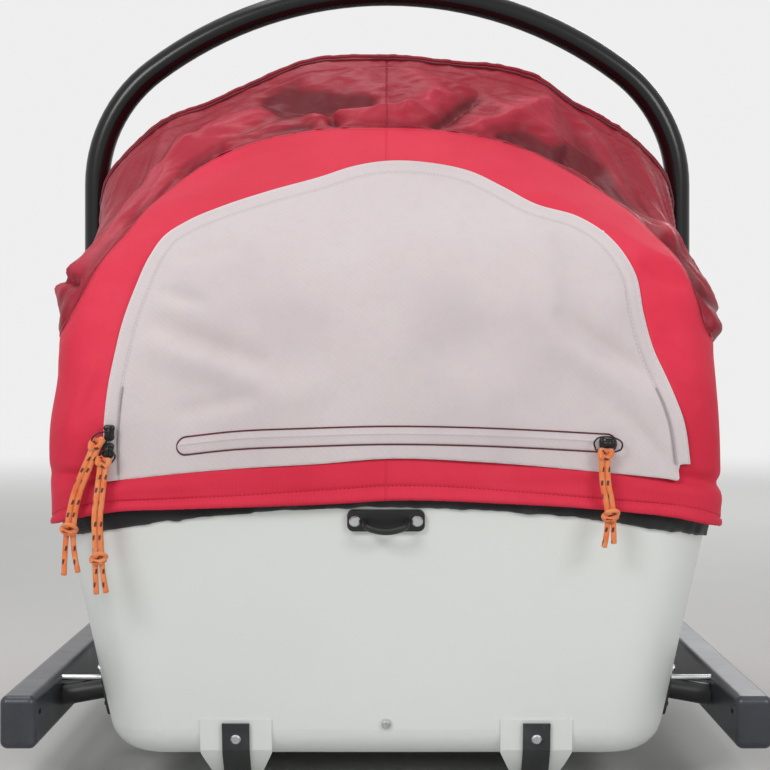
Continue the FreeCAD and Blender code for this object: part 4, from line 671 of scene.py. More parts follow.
def hoodHeight(points, across, up, total):
    # sag between seam and front edge, long slanted wrinkles, fine crumples, and gathers at the seam
    f = hoodFolds
    share = up / np.maximum(total, 1e-4)
    free = np.sin(pi * np.clip(share, 0, 1)) ** 0.6
    slant = across * 0.35 * np.sign(across)
    a, b = f["longSize"]
    long = creases(across / a + 3, (up + slant) / b + 5, 31, 3)
    c, e = f["fineSize"]
    fine = creases(across / c, (up - slant) / e, 47, 3)
    gather = softNoise(across / f["puckerSize"], up / 0.02, 53) * np.exp(-up / f["puckerReach"])
    gather += 0.5 * softNoise(across / f["puckerSize"] * 1.2, up / 0.02, 59) * np.exp(-(total - up) / 0.012)
    sag = -f["sag"] * np.sin(pi * np.clip(share, 0, 1) ** 1.4) * smoothStep(total, 0.02, 0.06)
    wide = smoothStep(total, 0.01, 0.05)
    x, z = points[..., 0], points[..., 2]
    placed = 1.7 * foldField(x, z, f["placed"], 1.5) * smoothStep(np.minimum(up, total - up), 0.0, 0.016)
    bags = sum(high * np.exp(-((x - x0) ** 2 + (z - z0) ** 2) / size ** 2) for x0, z0, size, high in f["sideBag"])
    bags = bags * smoothStep(-points[..., 1], 0.42, 0.45) * smoothStep(z, 0.350, 0.375)
    bags = bags * smoothStep(up, 0.0, 0.012) * smoothStep(total, 0.03, 0.07)
    loose = placed + free * wide * (f["long"] * (long - 0.6) * 0.8 + f["fine"] * fine) + f["pucker"] * gather * wide
    return sag + bags + loose, loose


def makeHood():
    inHood = seamAngle < 89.6
    columns = domeColumns[inHood]
    points, across, up, t = domeSheet(seamAngle[inHood], 90.0, 130, columns)
    total = up[-1]
    lift, loose = hoodHeight(points, across, up, total)
    points = points + normalsOf(points) * lift[..., None]
    edge = smoothLine(points[..., 0], *zip(*hoodFolds["edgeRise"]))
    points[..., 2] += edge * smoothStep(t, 0.45, 1.0) * smoothStep(points[..., 2], 0.45, 0.55)
    uv = np.stack([across, up], -1)
    # fold: height of the loose folds, which the hood's finish turns into painted shade and painted highlight
    hood = gridMesh("hoodCloth", points, uv,
                    extra={"toSeam": up + 0 * across, "toEdge": total - up, "middle": across,
                           "fold": np.clip(loose / 0.006, -1, 1)})
    solidify(hood, 0.0012)
    rideOn(hood, "root", "hood_cloth", "canopy_hood")
    return hood, points[-1], points[-14]


redCloth = makeRedCloth()
hoodCloth, hoodFront, hoodBand = makeHood()
print("rear canopy made")


def panelLift(places):
    x, z = places[..., 0], places[..., 1]
    soft = softNoise(x / panel["softSize"] + 3, z / panel["softSize"] + 9, 71)
    return foldField(x, z, panel["folds"]) + panel["soft"] * soft


def onPanel(places, proud):
    # points over the grey panel at rear-view places, standing proud of it by a given height
    base = domeRear(places[..., 0], places[..., 1])
    normal = normalsOf(base) if base.ndim == 3 and min(base.shape[:2]) > 2 else None
    gap, _ = nearest(places.reshape(1, -1, 2), panelAround)
    fade = smoothStep(gap.reshape(places.shape[:-1]), 0.0, 0.03)
    lift = panel["above"] + panelLift(places) * (0.25 + 0.75 * fade) + proud
    if normal is None:
        normal = domeNormal(places)
    return base + normal * lift[..., None]


def domeNormal(places):
    # outward normal of the dome at rear-view places, from points a millimetre apart
    step = 0.001
    x, z = places[..., 0], places[..., 1]
    acrossStep = domeRear(x + step, z) - domeRear(x - step, z)
    upStep = domeRear(x, z + step) - domeRear(x, z - step)
    normal = np.cross(acrossStep, upStep)
    return normal / np.linalg.norm(normal, axis=-1, keepdims=True)


def makePanel():
    places = patchBetween(*(panelEdges[key] for key in ("bottom", "top", "left", "right")))
    gap, along = nearest(places, panelRim)
    bottomGap, _ = nearest(places, edgeLine(panel["bottom"], 240))
    welt = sum(high * np.exp(-((distance - at) / wide) ** 2) for distance, (at, wide, high) in
               ((gap, panel["groove"]), (gap, panel["fullRim"]), (bottomGap, panel["lowerEdge"])))
    points = onPanel(places, welt)
    run = np.linalg.norm(np.diff(points, axis=0), axis=-1)
    up = np.concatenate([np.zeros((1, places.shape[1])), np.cumsum(run, axis=0)])
    sheet = gridMesh("greyPanel", points, np.stack([points[..., 0], up], -1),
                     extra={"toRim": gap, "alongRim": along, "toBottom": bottomGap, "toCoil": 0 * gap + 0.05})
    solidify(sheet, panel["thick"])
    rideOn(sheet, "root", "panel_cloth", "rear_panel")
    return sheet


greyPanel = makePanel()

# pocket in the panel: a rounded slot with a light tongue and a covered zip along it

pocket = {
    "middle": 0.0082, "half": 0.1712, "round": 0.0070,
    "line": ((-0.1628, 0.2833), (-0.120, 0.2880), (-0.060, 0.2906), (0.000, 0.2922), (0.060, 0.2914),
             (0.120, 0.2890), (0.160, 0.2868), (0.1795, 0.2858)),
    "edging": 0.0006,
}


def pocketPlaces(u, share):
    # stadium: half height falls as a quarter circle at both ends of a gently curved middle line
    x = pocket["middle"] + pocket["half"] * np.sin(u * pi / 2)
    over = np.maximum(np.abs(x - pocket["middle"]) - (pocket["half"] - pocket["round"]), 0)
    half = np.sqrt(np.maximum(pocket["round"] ** 2 - over ** 2, 0))
    return np.stack([x + 0 * share, smoothLine(x, *zip(*pocket["line"])) + share * half], -1)


def makePocket():
    u, share = np.linspace(-1, 1, 190)[None, :], np.linspace(-1, 1, 15)[:, None]
    places = pocketPlaces(u, share)
    # the tongue is full along its middle and its zip makes a low ridge
    bulge = 0.0012 * np.sqrt(1 - share ** 2) + 0.0005 * np.exp(-((share - 0.1) / 0.16) ** 2) + 0 * u
    run = places[..., 0]
    tongue = gridMesh("pocketTongue", onPanel(places, bulge - 0.0004), places,
                      extra={"toRim": 0 * run + 0.05, "alongRim": run, "toBottom": 0 * run + 0.05,
                             "toCoil": np.abs(share - 0.1) * pocket["round"] + 0 * u})
    solidify(tongue, 0.0012)
    rideOn(tongue, "root", "panel_cloth", "pocket_zip")
    top, bottom = pocketPlaces(u[0], np.ones(190)), pocketPlaces(u[0], -np.ones(190))
    around = np.concatenate([bottom[::2], top[::-2]])
    # dark tube round the slot: dark-red edging where it shows at the ends, and along the top a painted shadow line
    # under the tongue's edge
    edging = tubeMesh("pocketEdgeAndShadowLine", onPanel(around[None], 0.0003)[0], pocket["edging"], 8, closed=True)
    rideOn(edging, "root", "zip_tape")
    return tongue, edging


pocketTongue, pocketEdgeAndShadowLine = makePocket()
print("panel and pocket made")


# edge of the hood: piping, the zip behind it, and the folded band

edging = {"piping": 0.0021, "coil": 0.0011, "coilBack": 0.0065, "proud": 0.0006, "wave": 0.0009, "barHalf": 0.2688}


def makeHoodEdge():
    front = hoodFront[2:-2]
    outward = front - hoodBand[2:-2]
    outward /= np.linalg.norm(outward, axis=1, keepdims=True)
    wave = softNoise(np.linspace(0, 26, len(front)), np.zeros(len(front)), 83)[:, None] * edging["wave"]
    path = front + outward * (edging["proud"] + wave)
    # kept inside the width that the roll bar needs
    path[:, 0] = np.clip(path[:, 0], -edging["barHalf"], edging["barHalf"])
    piping = tubeMesh("hoodPiping", path, edging["piping"], 12, reference=(0, 1, 0))
    rideOn(piping, "root", "hood_cloth", "hood_piping")
    back = path - outward * edging["coilBack"]
    lift = back - np.array([0, dome["axisY"], dome["axisZ"] + 0.15])
    lift[:, 1] = 0
    lift /= np.linalg.norm(lift, axis=1, keepdims=True)
    coil = tubeMesh("hoodZip", back + lift * 0.0008, edging["coil"], 8, reference=(0, 1, 0))
    rideOn(coil, "root", "zip_tape")
    return piping, coil


hoodPiping, hoodZip = makeHoodEdge()


# side zips: fine teeth that show just inside the panel's upright edges

sideZip = {"inside": 0.0118, "topZ": 0.330, "tape": 0.0011, "coil": 0.00045}


def makeSideZips():
    made = []
    for word, side in (("left", 1), ("right", -1)):
        edge = panelEdges[word]
        edge = edgeLine(edge[(edge[:, 1] < sideZip["topZ"]) & (edge[:, 1] > 0.262)], 90)
        centre = edge + [side * sideZip["inside"], 0]
        offsets = np.linspace(-1, 1, 7)[:, None, None] * [sideZip["tape"], 0]
        tapePlaces = centre[None] + offsets
        raised = np.linspace(-1, 1, 7)[:, None] ** 2 * -0.0006 + 0.0004 + 0 * centre[None, :, 0]
        tape = gridMesh("sideZipTape" + word.capitalize(), onPanel(tapePlaces, raised), tapePlaces, flip=True)
        solidify(tape, 0.0004)
        rideOn(tape, "root", "zip_tape", "side_zip_" + word)
        teeth = sideZip["coil"] * (1 + 0.25 * np.sin(np.arange(360) * 2 * pi / 4))
        coil = tubeMesh("sideZipCoil" + word.capitalize(), onPanel(edgeLine(centre, 360)[None], 0.0007)[0], teeth, 8)
        rideOn(coil, "root", "zip_tape")
        made += [tape, coil]
    return made


sideZips = makeSideZips()
print("zips made")


# front cover: a sloping roof over walls that follow the rim to the bow

cover = {
    "rearY": -0.300, "tipY": 0.6060, "narrowFrom": -0.150,
    "topHigh": 0.637, "topLow": 0.292, "tipTop": 0.262, "bend": 0.72,
    "rise": 0.142, "riseLow": 0.014, "corner": 0.058, "cornerLow": 0.010,
    "soft": 0.0030, "crease": 0.0016, "sag": 0.006, "tuck": 0.012, "highest": 0.0025,
    "window": {"half": 0.175, "halfFront": 0.150, "rear": -0.225, "front": 0.060, "corner": 0.022},
}


def coverArch(y):
    # height, rise, corner and half width of the cover's arch at a station
    share = (y - cover["rearY"]) / (0.596 - cover["rearY"])
    steep = cover["topHigh"] - (cover["topHigh"] - cover["topLow"]) * np.clip(share / cover["bend"], 0, 1) ** 1.12
    flat = cover["topLow"] - (cover["topLow"] - cover["tipTop"]) * (share - cover["bend"]) / (1 - cover["bend"])
    height = np.where(share < cover["bend"], steep, flat)
    fade = np.clip(1 - share, 0, 1)
    reach = np.clip((y - cover["narrowFrom"]) / (cover["tipY"] - cover["narrowFrom"]), 0, 1)
    half = (dome["half"] + 0.0004 * share) * (1 - reach ** 2.5) ** 0.6
    rise = cover["riseLow"] + (cover["rise"] - cover["riseLow"]) * fade
    corner = cover["cornerLow"] + (cover["corner"] - cover["cornerLow"]) * fade
    return height, rise, np.minimum(corner, half * 0.5 + 1e-4), half


def coverPoint(y, side):
    # crown line, round shoulder and wall down to the hem, by share of the half length
    height, rise, corner, half = coverArch(y)
    fullHalf = dome["half"]
    crown = ((fullHalf - corner) ** 2 + rise ** 2 - corner ** 2) / (2 * (rise - corner))
    x0 = half - corner
    shoulder = height - (crown - np.sqrt(np.maximum(crown ** 2 - x0 ** 2, 0)))
    wall = np.maximum(shoulder - corner - hemHeight(half), 0.002)
    runs = x0, corner * pi / 2, wall
    run = np.abs(side) * (runs[0] + runs[1] + runs[2])
    inTurn = np.clip((run - runs[0]) / corner, 0, pi / 2)
    down = np.clip(run - runs[0] - runs[1], 0, None)
    x = np.minimum(run, x0) + corner * np.sin(inTurn)
    z = np.where(run < x0, height - (crown - np.sqrt(np.maximum(crown ** 2 - np.minimum(run, x0) ** 2, 0))),
                 shoulder - corner * (1 - np.cos(inTurn)) - down)
    return np.stack([x * np.sign(side), y + 0 * x, z], -1), run * np.sign(side)


def windowGap(x, y):
    # distance inside the window's rounded outline, negative outside it
    w = cover["window"]
    t = (y - w["rear"]) / (w["front"] - w["rear"])
    half = w["half"] + (w["halfFront"] - w["half"]) * t
    middle, reach = (w["rear"] + w["front"]) / 2, (w["front"] - w["rear"]) / 2
    dx, dy = np.abs(x) - (half - w["corner"]), np.abs(y - middle) - (reach - w["corner"])
    return w["corner"] - np.hypot(np.maximum(dx, 0), np.maximum(dy, 0)) - np.minimum(np.maximum(dx, dy), 0)


def makeCover():
    share = np.linspace(0, 1, 190)
    y = cover["rearY"] + 0.0005 + (cover["tipY"] - 0.0004 - cover["rearY"]) * np.sin(share * pi / 2) ** 0.9
    columns = np.linspace(-1, 1, 231)
    points, across = coverPoint(y[:, None], columns[None, :])
    step = np.linalg.norm(np.diff(points, axis=0), axis=-1)
    up = np.concatenate([np.zeros((1, len(columns))), np.cumsum(step, axis=0)])
    lift = cover["soft"] * softNoise(across / 0.09, points[..., 1] / 0.10, 91)
    lift += cover["crease"] * creases(across / 0.12 + 2, points[..., 1] / 0.05, 95, 2)
    hollow = np.sin(pi * np.clip((points[..., 1] + 0.3) / 0.5, 0, 1)) * np.cos(columns[None, :] * pi / 2) ** 2
    lift -= cover["sag"] * hollow
    gap = windowGap(points[..., 0], points[..., 1])
    high = points[..., 2] > 0.33
    lift *= np.where(high, smoothStep(-gap, 0.0, 0.05), 1) * smoothStep(points[..., 1], -0.300, -0.270)
    lift *= smoothStep(points[..., 2] - hemHeight(points[..., 0]), 0.0, 0.02)
    lift = np.minimum(lift, cover["highest"])
    # its rear edge is tucked under the hood's
    atRear = 1 - smoothStep(points[..., 1], -0.300, -0.245)
    lift -= cover["tuck"] * atRear * smoothStep(points[..., 2], 0.40, 0.50)
    points = points + normalsOf(points) * lift[..., None]
    rows, wide = points.shape[:2]
    index = np.arange(rows * wide).reshape(rows, wide)
    quads = np.stack([index[:-1, :-1], index[:-1, 1:], index[1:, 1:], index[1:, :-1]], axis=-1)
    inside = (gap > -0.003) & high
    whole = ~(inside[:-1, :-1] & inside[:-1, 1:] & inside[1:, 1:] & inside[1:, :-1])
    uv = np.stack([across, up], -1)
    cloth = meshObject("frontCover", points.reshape(-1, 3), quads[whole], uv, {"middle": across})
    solidify(cloth, dome["cloth"])
    rideOn(cloth, "root", "red_cloth", "canopy_front")
    return cloth


frontCover = makeCover()


def windowOutline():
    # rounded outline: the place on each ray from the middle where the gap is nought, found by halving
    turn = np.linspace(0, 2 * pi, 240, endpoint=False)
    middle = (cover["window"]["rear"] + cover["window"]["front"]) / 2
    low, high = np.zeros(240), np.full(240, 0.30)
    for _ in range(30):
        reach = (low + high) / 2
        inside = windowGap(reach * np.cos(turn), middle + reach * np.sin(turn)) > 0
        low, high = np.where(inside, reach, low), np.where(inside, high, reach)
    return turn, middle, reach


def onRoof(reach, turn, middle, proud):
    # point of the roof at a ray and distance from the window's middle
    x, y = reach * np.cos(turn), middle + reach * np.sin(turn)
    height, rise, corner, half = coverArch(y)
    crown = ((half - corner) ** 2 + rise ** 2 - corner ** 2) / (2 * (rise - corner))
    return np.stack([x, y, height - (crown - np.sqrt(crown ** 2 - x ** 2)) + proud], -1)


def makeWindow():
    # flat band round the window, and a film with slack waves that is sewn in under it
    turn, middle, reach = windowOutline()
    rows = [onRoof(reach + offset, turn, middle, proud) for offset, proud in
            ((-0.011, 0.0002), (-0.010, 0.0014), (0.0, 0.0020), (0.010, 0.0016), (0.0115, -0.0010))]
    band = gridMesh("windowBinding", np.array(rows), closedAcross=True, flip=True)
    solidify(band, 0.0012)
    rideOn(band, "root", "trim_black")
    share = np.linspace(0.004, 1.012, 60)[:, None]
    x, y = share * reach * np.cos(turn), share * reach * np.sin(turn)
    slack = (1 - share ** 4) * (0.0022 * softNoise(x / 0.07 + 5, y / 0.05 + 5, 123) - 0.0030)
    film = gridMesh("windowFilm", onRoof(share * reach, turn, middle, slack - 0.0012), closedAcross=True, flip=True)
    solidify(film, 0.0006)
    rideOn(film, "root", "clear_film", "window")
    return band, film


windowBinding, windowFilm = makeWindow()
print("front cover made")


# pads on the seat: each starts a little smaller than the CAD pad and is blown up by cloth pressure

cushions = {
    "frames": 20, "pressure": 4.0, "voxel": 0.005, "shrink": 0.0055, "cap": 0.0062,
    "seat_cushion": {"place": (0.0, -0.155, 0.0403), "along": (0.0, 1.0, 0.0), "half": (0.137, 0.117),
                     "channels": (-0.046, 0.0, 0.046), "fill": 0.6},
    "back_cushion": {"place": (0.0, -0.3685, 0.2446), "along": (0.0, -0.2267, 0.9740), "half": (0.137, 0.192),
                     "channels": (-0.072, 0.0, 0.072), "fill": 0.6},
    "channel": 0.0062, "wrinkle": 0.0012, "uneven": 0.0008, "highest": 0.0419, "joinWithin": 0.00005,
}


def remeshed(label, name, voxel):
    # a merged copy of a CAD mesh, rebuilt from even cells
    mesh = cad[label].data.copy()
    joining = bmesh.new()
    joining.from_mesh(mesh)
    bmesh.ops.remove_doubles(joining, verts=joining.verts, dist=cushions["joinWithin"])
    joining.to_mesh(mesh)
    joining.free()
    piece = bpy.data.objects.new(name, mesh)
    bpy.context.scene.collection.objects.link(piece)
    cells = piece.modifiers.new("cells", "REMESH")
    cells.mode = "VOXEL"
    cells.voxel_size = voxel
    return settled(piece)


def settled(piece):
    # the mesh as its modifiers leave it, with no modifier left
    seen = piece.evaluated_get(bpy.context.evaluated_depsgraph_get())
    mesh = bpy.data.meshes.new_from_object(seen)
    piece.modifiers.clear()
    piece.data = mesh
    return piece


def readPoints(piece, what="co"):
    values = np.zeros(len(piece.data.vertices) * 3)
    piece.data.vertices.foreach_get(what, values)
    return values.reshape(-1, 3)


def writePoints(piece, points):
    piece.data.vertices.foreach_set("co", np.ascontiguousarray(points, dtype=np.float32).ravel())
    piece.data.polygons.foreach_set("use_smooth", np.ones(len(piece.data.polygons), dtype=bool))
    piece.data.update()


def blownUp(piece):
    # cloth pressure pushes the skin out; no point moves further than the cap
    start = readPoints(piece) - readPoints(piece, "normal") * cushions["shrink"]
    writePoints(piece, start)
    cloth = piece.modifiers.new("pressure", "CLOTH")
    cloth.settings.use_pressure = True
    cloth.settings.uniform_pressure_force = cushions["pressure"]
    cloth.settings.effector_weights.gravity = 0
    cloth.point_cache.frame_end = cushions["frames"]
    for moment in range(1, cushions["frames"] + 1):
        bpy.context.scene.frame_set(moment)
    settled(piece)
    move = readPoints(piece) - start
    size = np.linalg.norm(move, axis=1, keepdims=True)
    writePoints(piece, start + move * np.minimum(1, cushions["cap"] / np.maximum(size, 1e-9)))
    bpy.context.scene.frame_set(1)


def makeCushion(label):
    f = cushions[label]
    piece = remeshed(label, label.replace("_cushion", "Pad"), cushions["voxel"])
    blownUp(piece)
    along = np.array(f["along"])
    out = np.cross((1.0, 0.0, 0.0), along)
    points, normal = readPoints(piece), readPoints(piece, "normal")
    local = points - f["place"]
    x, v = local[:, 0], local @ along
    facing = smoothStep(normal @ out, 0.1, 0.6)
    inner = smoothStep(f["half"][1] - np.abs(v), 0.012, 0.035) * smoothStep(f["half"][0] - np.abs(x), 0.010, 0.03)
    # sewn channels across the pad, tucked along their seams, and small wrinkles beside them
    depth = sum(np.exp(-(np.abs(v - c) / 0.0055) ** 1.6) for c in f["channels"])
    near = sum(np.exp(-(np.abs(v - c) / 0.016) ** 2) for c in f["channels"])
    wrinkle = softNoise(x / 0.011 + 3, v / 0.05 + 3, 141) * near
    lift = (cushions["wrinkle"] * wrinkle - cushions["channel"] * depth) * inner
    lift += cushions["uneven"] * softNoise(x / 0.05, v / 0.05, 143)
    points = points + out * (lift * facing)[:, None]
    # kept under the CAD pad's crown, which the straps lie on
    over = np.maximum((points - f["place"]) @ out - cushions["highest"], 0)
    writePoints(piece, points - out * over[:, None])
    finer = piece.modifiers.new("finer", "SUBSURF")
    finer.levels = finer.render_levels = 1
    rideOn(piece, "root", "seat_fabric", label)
    return piece


seatPads = [makeCushion("seat_cushion"), makeCushion("back_cushion")]
print("seat pads made")


# harness: bands of webbing that run from the seat's top and floor to the buckle

harness = {
    "wide": 0.0125, "thick": 0.0016, "base": (0.0, -0.322, 0.0403), "along": (0.0, -0.2267, 0.9740),
    "lift": 0.0424, "crown": 0.0004, "roll": 0.0002,
    "bands": {     # x and height up the back of both ends, share of the width at the far end
        "harness_strap_left": (-0.062, 0.318, -0.014, 0.174, 0.6),
        "harness_strap_right": (0.062, 0.318, 0.014, 0.174, 0.6),
        "crotch_strap": (0.0, 0.128, 0.0, 0.070, 1.0),
    },
}


def makeBand(label):
    x0, v0, x1, v1, narrow = harness["bands"][label]
    along = np.array(harness["along"])
    out = np.cross((1.0, 0.0, 0.0), along)
    t, side = np.linspace(0, 1, 60)[:, None], np.linspace(-1, 1, 13)[None, :]
    wide = harness["wide"] * (1 + (narrow - 1) * smoothStep(t, 0.75, 1.0))
    x = x0 + (x1 - x0) * t + side * wide
    v = v0 + (v1 - v0) * t + 0 * side
    # edges a little thinner than the middle, and a slight roll along the length
    height = harness["lift"] + harness["crown"] * (1 - side ** 4) + harness["roll"] * np.sin(7 * t + side)
    points = np.array(harness["base"]) + x[..., None] * [1, 0, 0] + v[..., None] * along + height[..., None] * out
    uv = np.stack([x + 0 * v, v], -1)
    band = gridMesh(label.replace("_strap", "Band").replace("_left", "Left").replace("_right", "Right"), points, uv,
                    flip=v1 < v0)
    solidify(band, harness["thick"], 1.0)
    rideOn(band, "root", "strap_web", label)
    return band


bands = [makeBand(label) for label in harness["bands"]]
print("harness made")


# woven band round the hull's rim, from the CAD strip, with the slight waves of sewn cloth

rimCloth = {"voxel": 0.0030, "waves": ((0.0007, 0.016, 0.020, 151), (0.0005, 0.006, 0.008, 153))}


def makeRimBand():
    piece = remeshed("rim_trim", "rimBand", rimCloth["voxel"])
    points, normal = readPoints(piece), readPoints(piece, "normal")
    run = points[:, 0] + points[:, 1]
    wave = sum(high * softNoise(run / long + 9, points[:, 2] / tall + 9, seed)
               for high, long, tall, seed in rimCloth["waves"])
    writePoints(piece, points + normal * wave[:, None])
    rideOn(piece, "root", "trim_black", "rim_trim")
    return piece


rimBand = makeRimBand()
print("rim band made")


# shader helpers

def addNode(tree, kind, inputs=None, **settings):
    # a node with its settings, and its inputs set or linked by name or place
    node = tree.nodes.new(kind)
    for key, value in settings.items():
        setattr(node, key, value)
    for key, value in (inputs or {}).items():
        if isinstance(value, bpy.types.NodeSocket):
            tree.links.new(value, node.inputs[key])
        else:
            node.inputs[key].default_value = value
    return node


def sums(tree, operation, *values, clamp=False):
    node = addNode(tree, "ShaderNodeMath", dict(enumerate(values)), operation=operation, use_clamp=clamp)
    return node.outputs[0]


def times(tree, *values, clamp=False):
    return sums(tree, "MULTIPLY", *values, clamp=clamp)


def greatest(tree, first, *others):
    for other in others:
        first = sums(tree, "MAXIMUM", first, other)
    return first


def ramp(tree, value, low, high, fromValue=0.0, toValue=1.0):
    limits = {"Value": value, "From Min": low, "From Max": high, "To Min": fromValue, "To Max": toValue}
    return addNode(tree, "ShaderNodeMapRange", limits, interpolation_type="SMOOTHSTEP").outputs[0]


def blendColours(tree, share, a, b, kind="MIX"):
    node = tree.nodes.new("ShaderNodeMix")
    node.data_type = "RGBA"
    node.blend_type = kind
    for key, value in ((0, share), (6, a), (7, b)):
        if isinstance(value, bpy.types.NodeSocket):
            tree.links.new(value, node.inputs[key])
        else:
            node.inputs[key].default_value = value
    return node.outputs[2]


def newGroup(name, inputs, outputs):
    # an empty node group with named inputs and outputs; returns its tree, input node and output node
    tree = bpy.data.node_groups.new(name, "ShaderNodeTree")
    kinds = {"value": "NodeSocketFloat", "colour": "NodeSocketColor", "vector": "NodeSocketVector"}
    for key, (kind, default) in inputs.items():
        socket = tree.interface.new_socket(name=key, in_out="INPUT", socket_type=kinds[kind])
        if default is not None:
            socket.default_value = default
    for key, kind in outputs.items():
        tree.interface.new_socket(name=key, in_out="OUTPUT", socket_type=kinds[kind])
    return tree, tree.nodes.new("NodeGroupInput").outputs, tree.nodes.new("NodeGroupOutput").inputs


def useGroup(tree, group, **inputs):
    node = tree.nodes.new("ShaderNodeGroup")
    node.node_tree = group
    for key, value in inputs.items():
        if isinstance(value, bpy.types.NodeSocket):
            tree.links.new(value, node.inputs[key])
        else:
            node.inputs[key].default_value = value
    return node.outputs


def noise(tree, vector, scale, detail=2.0, roughness=0.5):
    return addNode(tree, "ShaderNodeTexNoise", {"Vector": vector, "Scale": scale, "Detail": detail,
                                                "Roughness": roughness}).outputs["Fac"]


def rgb(r, g, b):
    # sRGB from 0 to 255 as the linear colour that a socket takes
    c = np.array([r, g, b]) / 255
    c = np.where(c <= 0.04045, c / 12.92, ((c + 0.055) / 1.055) ** 2.4)
    return (*c.tolist(), 1.0)


# effects that several finishes share

def makeWeave():
    # threads crossing over and under: the product of two sines, and a slanted rib
    tree, given, out = newGroup("threadWeave", {"Vector": ("vector", None), "Threads": ("value", 900.0),
                                                "Slant": ("value", 0.0)}, {"Height": "value", "Shade": "value"})
    place = addNode(tree, "ShaderNodeSeparateXYZ", {0: given["Vector"]}).outputs
    wave = [sums(tree, "SINE", times(tree, times(tree, axis, given["Threads"]), 2 * pi))
            for axis in (place[0], place[1])]
    slanted = sums(tree, "SINE", times(tree, times(tree, sums(tree, "ADD", place[0], place[1]),
                                                             given["Threads"]), 2 * pi))
    crossed = times(tree, wave[0], wave[1])
    mixed = sums(tree, "ADD", times(tree, crossed, sums(tree, "SUBTRACT", 1.0, given["Slant"])),
                 times(tree, slanted, given["Slant"]))
    height = sums(tree, "MULTIPLY_ADD", mixed, 0.5, 0.5)
    tree.links.new(height, out["Height"])
    uneven = noise(tree, given["Vector"], 260.0, 3.0)
    tree.links.new(sums(tree, "MULTIPLY_ADD", uneven, 0.6, times(tree, height, 0.4)), out["Shade"])
    return tree


def makeTone():
    # base colour that drifts to a deeper and a paler one in broad and fine patches
    tree, given, out = newGroup("toneDrift", {"Vector": ("vector", None), "Base": ("colour", None),
                                              "Deep": ("colour", None), "Pale": ("colour", None),
                                              "Size": ("value", 6.0), "Amount": ("value", 0.5)}, {"Colour": "colour"})
    broad = noise(tree, given["Vector"], given["Size"], 3.0, 0.55)
    fine = noise(tree, given["Vector"], times(tree, given["Size"], 14.0), 3.0, 0.6)
    deep = times(tree, ramp(tree, broad, 0.52, 0.30), given["Amount"])
    pale = times(tree, ramp(tree, broad, 0.50, 0.72), given["Amount"])
    first = blendColours(tree, deep, given["Base"], given["Deep"])
    second = blendColours(tree, pale, first, given["Pale"])
    speck = times(tree, ramp(tree, fine, 0.45, 0.75), times(tree, given["Amount"], 0.30))
    tree.links.new(blendColours(tree, speck, second, given["Deep"]), out["Colour"])
    return tree


def makeStitches():
    # dashes of thread at a set distance from an edge
    tree, given, out = newGroup("stitchRow", {"Distance": ("value", 0.0), "Along": ("value", 0.0),
                                              "Place": ("value", 0.01), "Width": ("value", 0.0005),
                                              "Pitch": ("value", 0.0032)}, {"Mask": "value", "Groove": "value"})
    gap = sums(tree, "ABSOLUTE", sums(tree, "SUBTRACT", given["Distance"], given["Place"]))
    line = ramp(tree, gap, given["Width"], times(tree, given["Width"], 0.5))
    dash = sums(tree, "FRACT", sums(tree, "DIVIDE", given["Along"], given["Pitch"]))
    dash = ramp(tree, sums(tree, "ABSOLUTE", sums(tree, "SUBTRACT", dash, 0.5)), 0.36, 0.30)
    tree.links.new(times(tree, line, dash), out["Mask"])
    tree.links.new(ramp(tree, gap, times(tree, given["Width"], 4.0), 0.0), out["Groove"])
    return tree


def makeScuff():
    # thin scratches both ways and rubbed patches
    tree, given, out = newGroup("scuffMarks", {"Vector": ("vector", None), "Size": ("value", 40.0),
                                               "Amount": ("value", 0.3)}, {"Mask": "value"})
    masks = []
    for stretch in ((1.0, 0.06, 0.3), (0.05, 0.7, 1.0)):
        drawn = addNode(tree, "ShaderNodeMapping", {"Vector": given["Vector"], "Scale": stretch,
                                                    "Rotation": (0.3, 0.2, 0.5)}).outputs[0]
        masks.append(ramp(tree, noise(tree, drawn, times(tree, given["Size"], 9.0), 2.0), 0.66, 0.74))
    patch = ramp(tree, noise(tree, given["Vector"], given["Size"], 2.0, 0.4), 0.40, 0.80)
    lines = times(tree, sums(tree, "MAXIMUM", masks[0], masks[1]), patch)
    total = sums(tree, "MULTIPLY_ADD", patch, 0.08, lines)
    tree.links.new(times(tree, total, given["Amount"], clamp=True), out["Mask"])
    return tree


def makeDust():
    # fine dust on faces that look up
    tree, given, out = newGroup("settledDust", {"Vector": ("vector", None), "Amount": ("value", 0.2)},
                                {"Mask": "value"})
    normal = addNode(tree, "ShaderNodeNewGeometry").outputs["Normal"]
    up = ramp(tree, addNode(tree, "ShaderNodeSeparateXYZ", {0: normal}).outputs[2], 0.35, 1.0)
    grain = ramp(tree, noise(tree, given["Vector"], 55.0, 5.0, 0.7), 0.35, 0.75)
    lying = times(tree, up, grain)
    tree.links.new(times(tree, lying, given["Amount"], clamp=True), out["Mask"])
    return tree


def makeGrain():
    # moulded surface: rounded pits of two sizes
    tree, given, out = newGroup("mouldGrain", {"Vector": ("vector", None), "Size": ("value", 700.0)},
                                {"Height": "value"})
    cells = addNode(tree, "ShaderNodeTexVoronoi", {"Vector": given["Vector"], "Scale": given["Size"]}).outputs[0]
    fine = noise(tree, given["Vector"], times(tree, given["Size"], 0.45), 3.0)
    tree.links.new(sums(tree, "MULTIPLY_ADD", cells, 0.6, times(tree, fine, 0.7)), out["Height"])
    return tree


weaveGroup, toneGroup, stitchGroup = makeWeave(), makeTone(), makeStitches()
scuffGroup, dustGroup, grainGroup = makeScuff(), makeDust(), makeGrain()


def newFinish(name, **constants):
    # a material with one Principled shader whose plain numbers sit on its own sockets
    finish = bpy.data.materials.new(name)
    finish.use_nodes = True
    tree = finish.node_tree
    shader = tree.nodes["Principled BSDF"]
    for key, value in constants.items():
        shader.inputs[key.replace("_", " ")].default_value = value
    coordinates = tree.nodes.new("ShaderNodeTexCoord").outputs
    return finish, tree, shader.inputs, coordinates


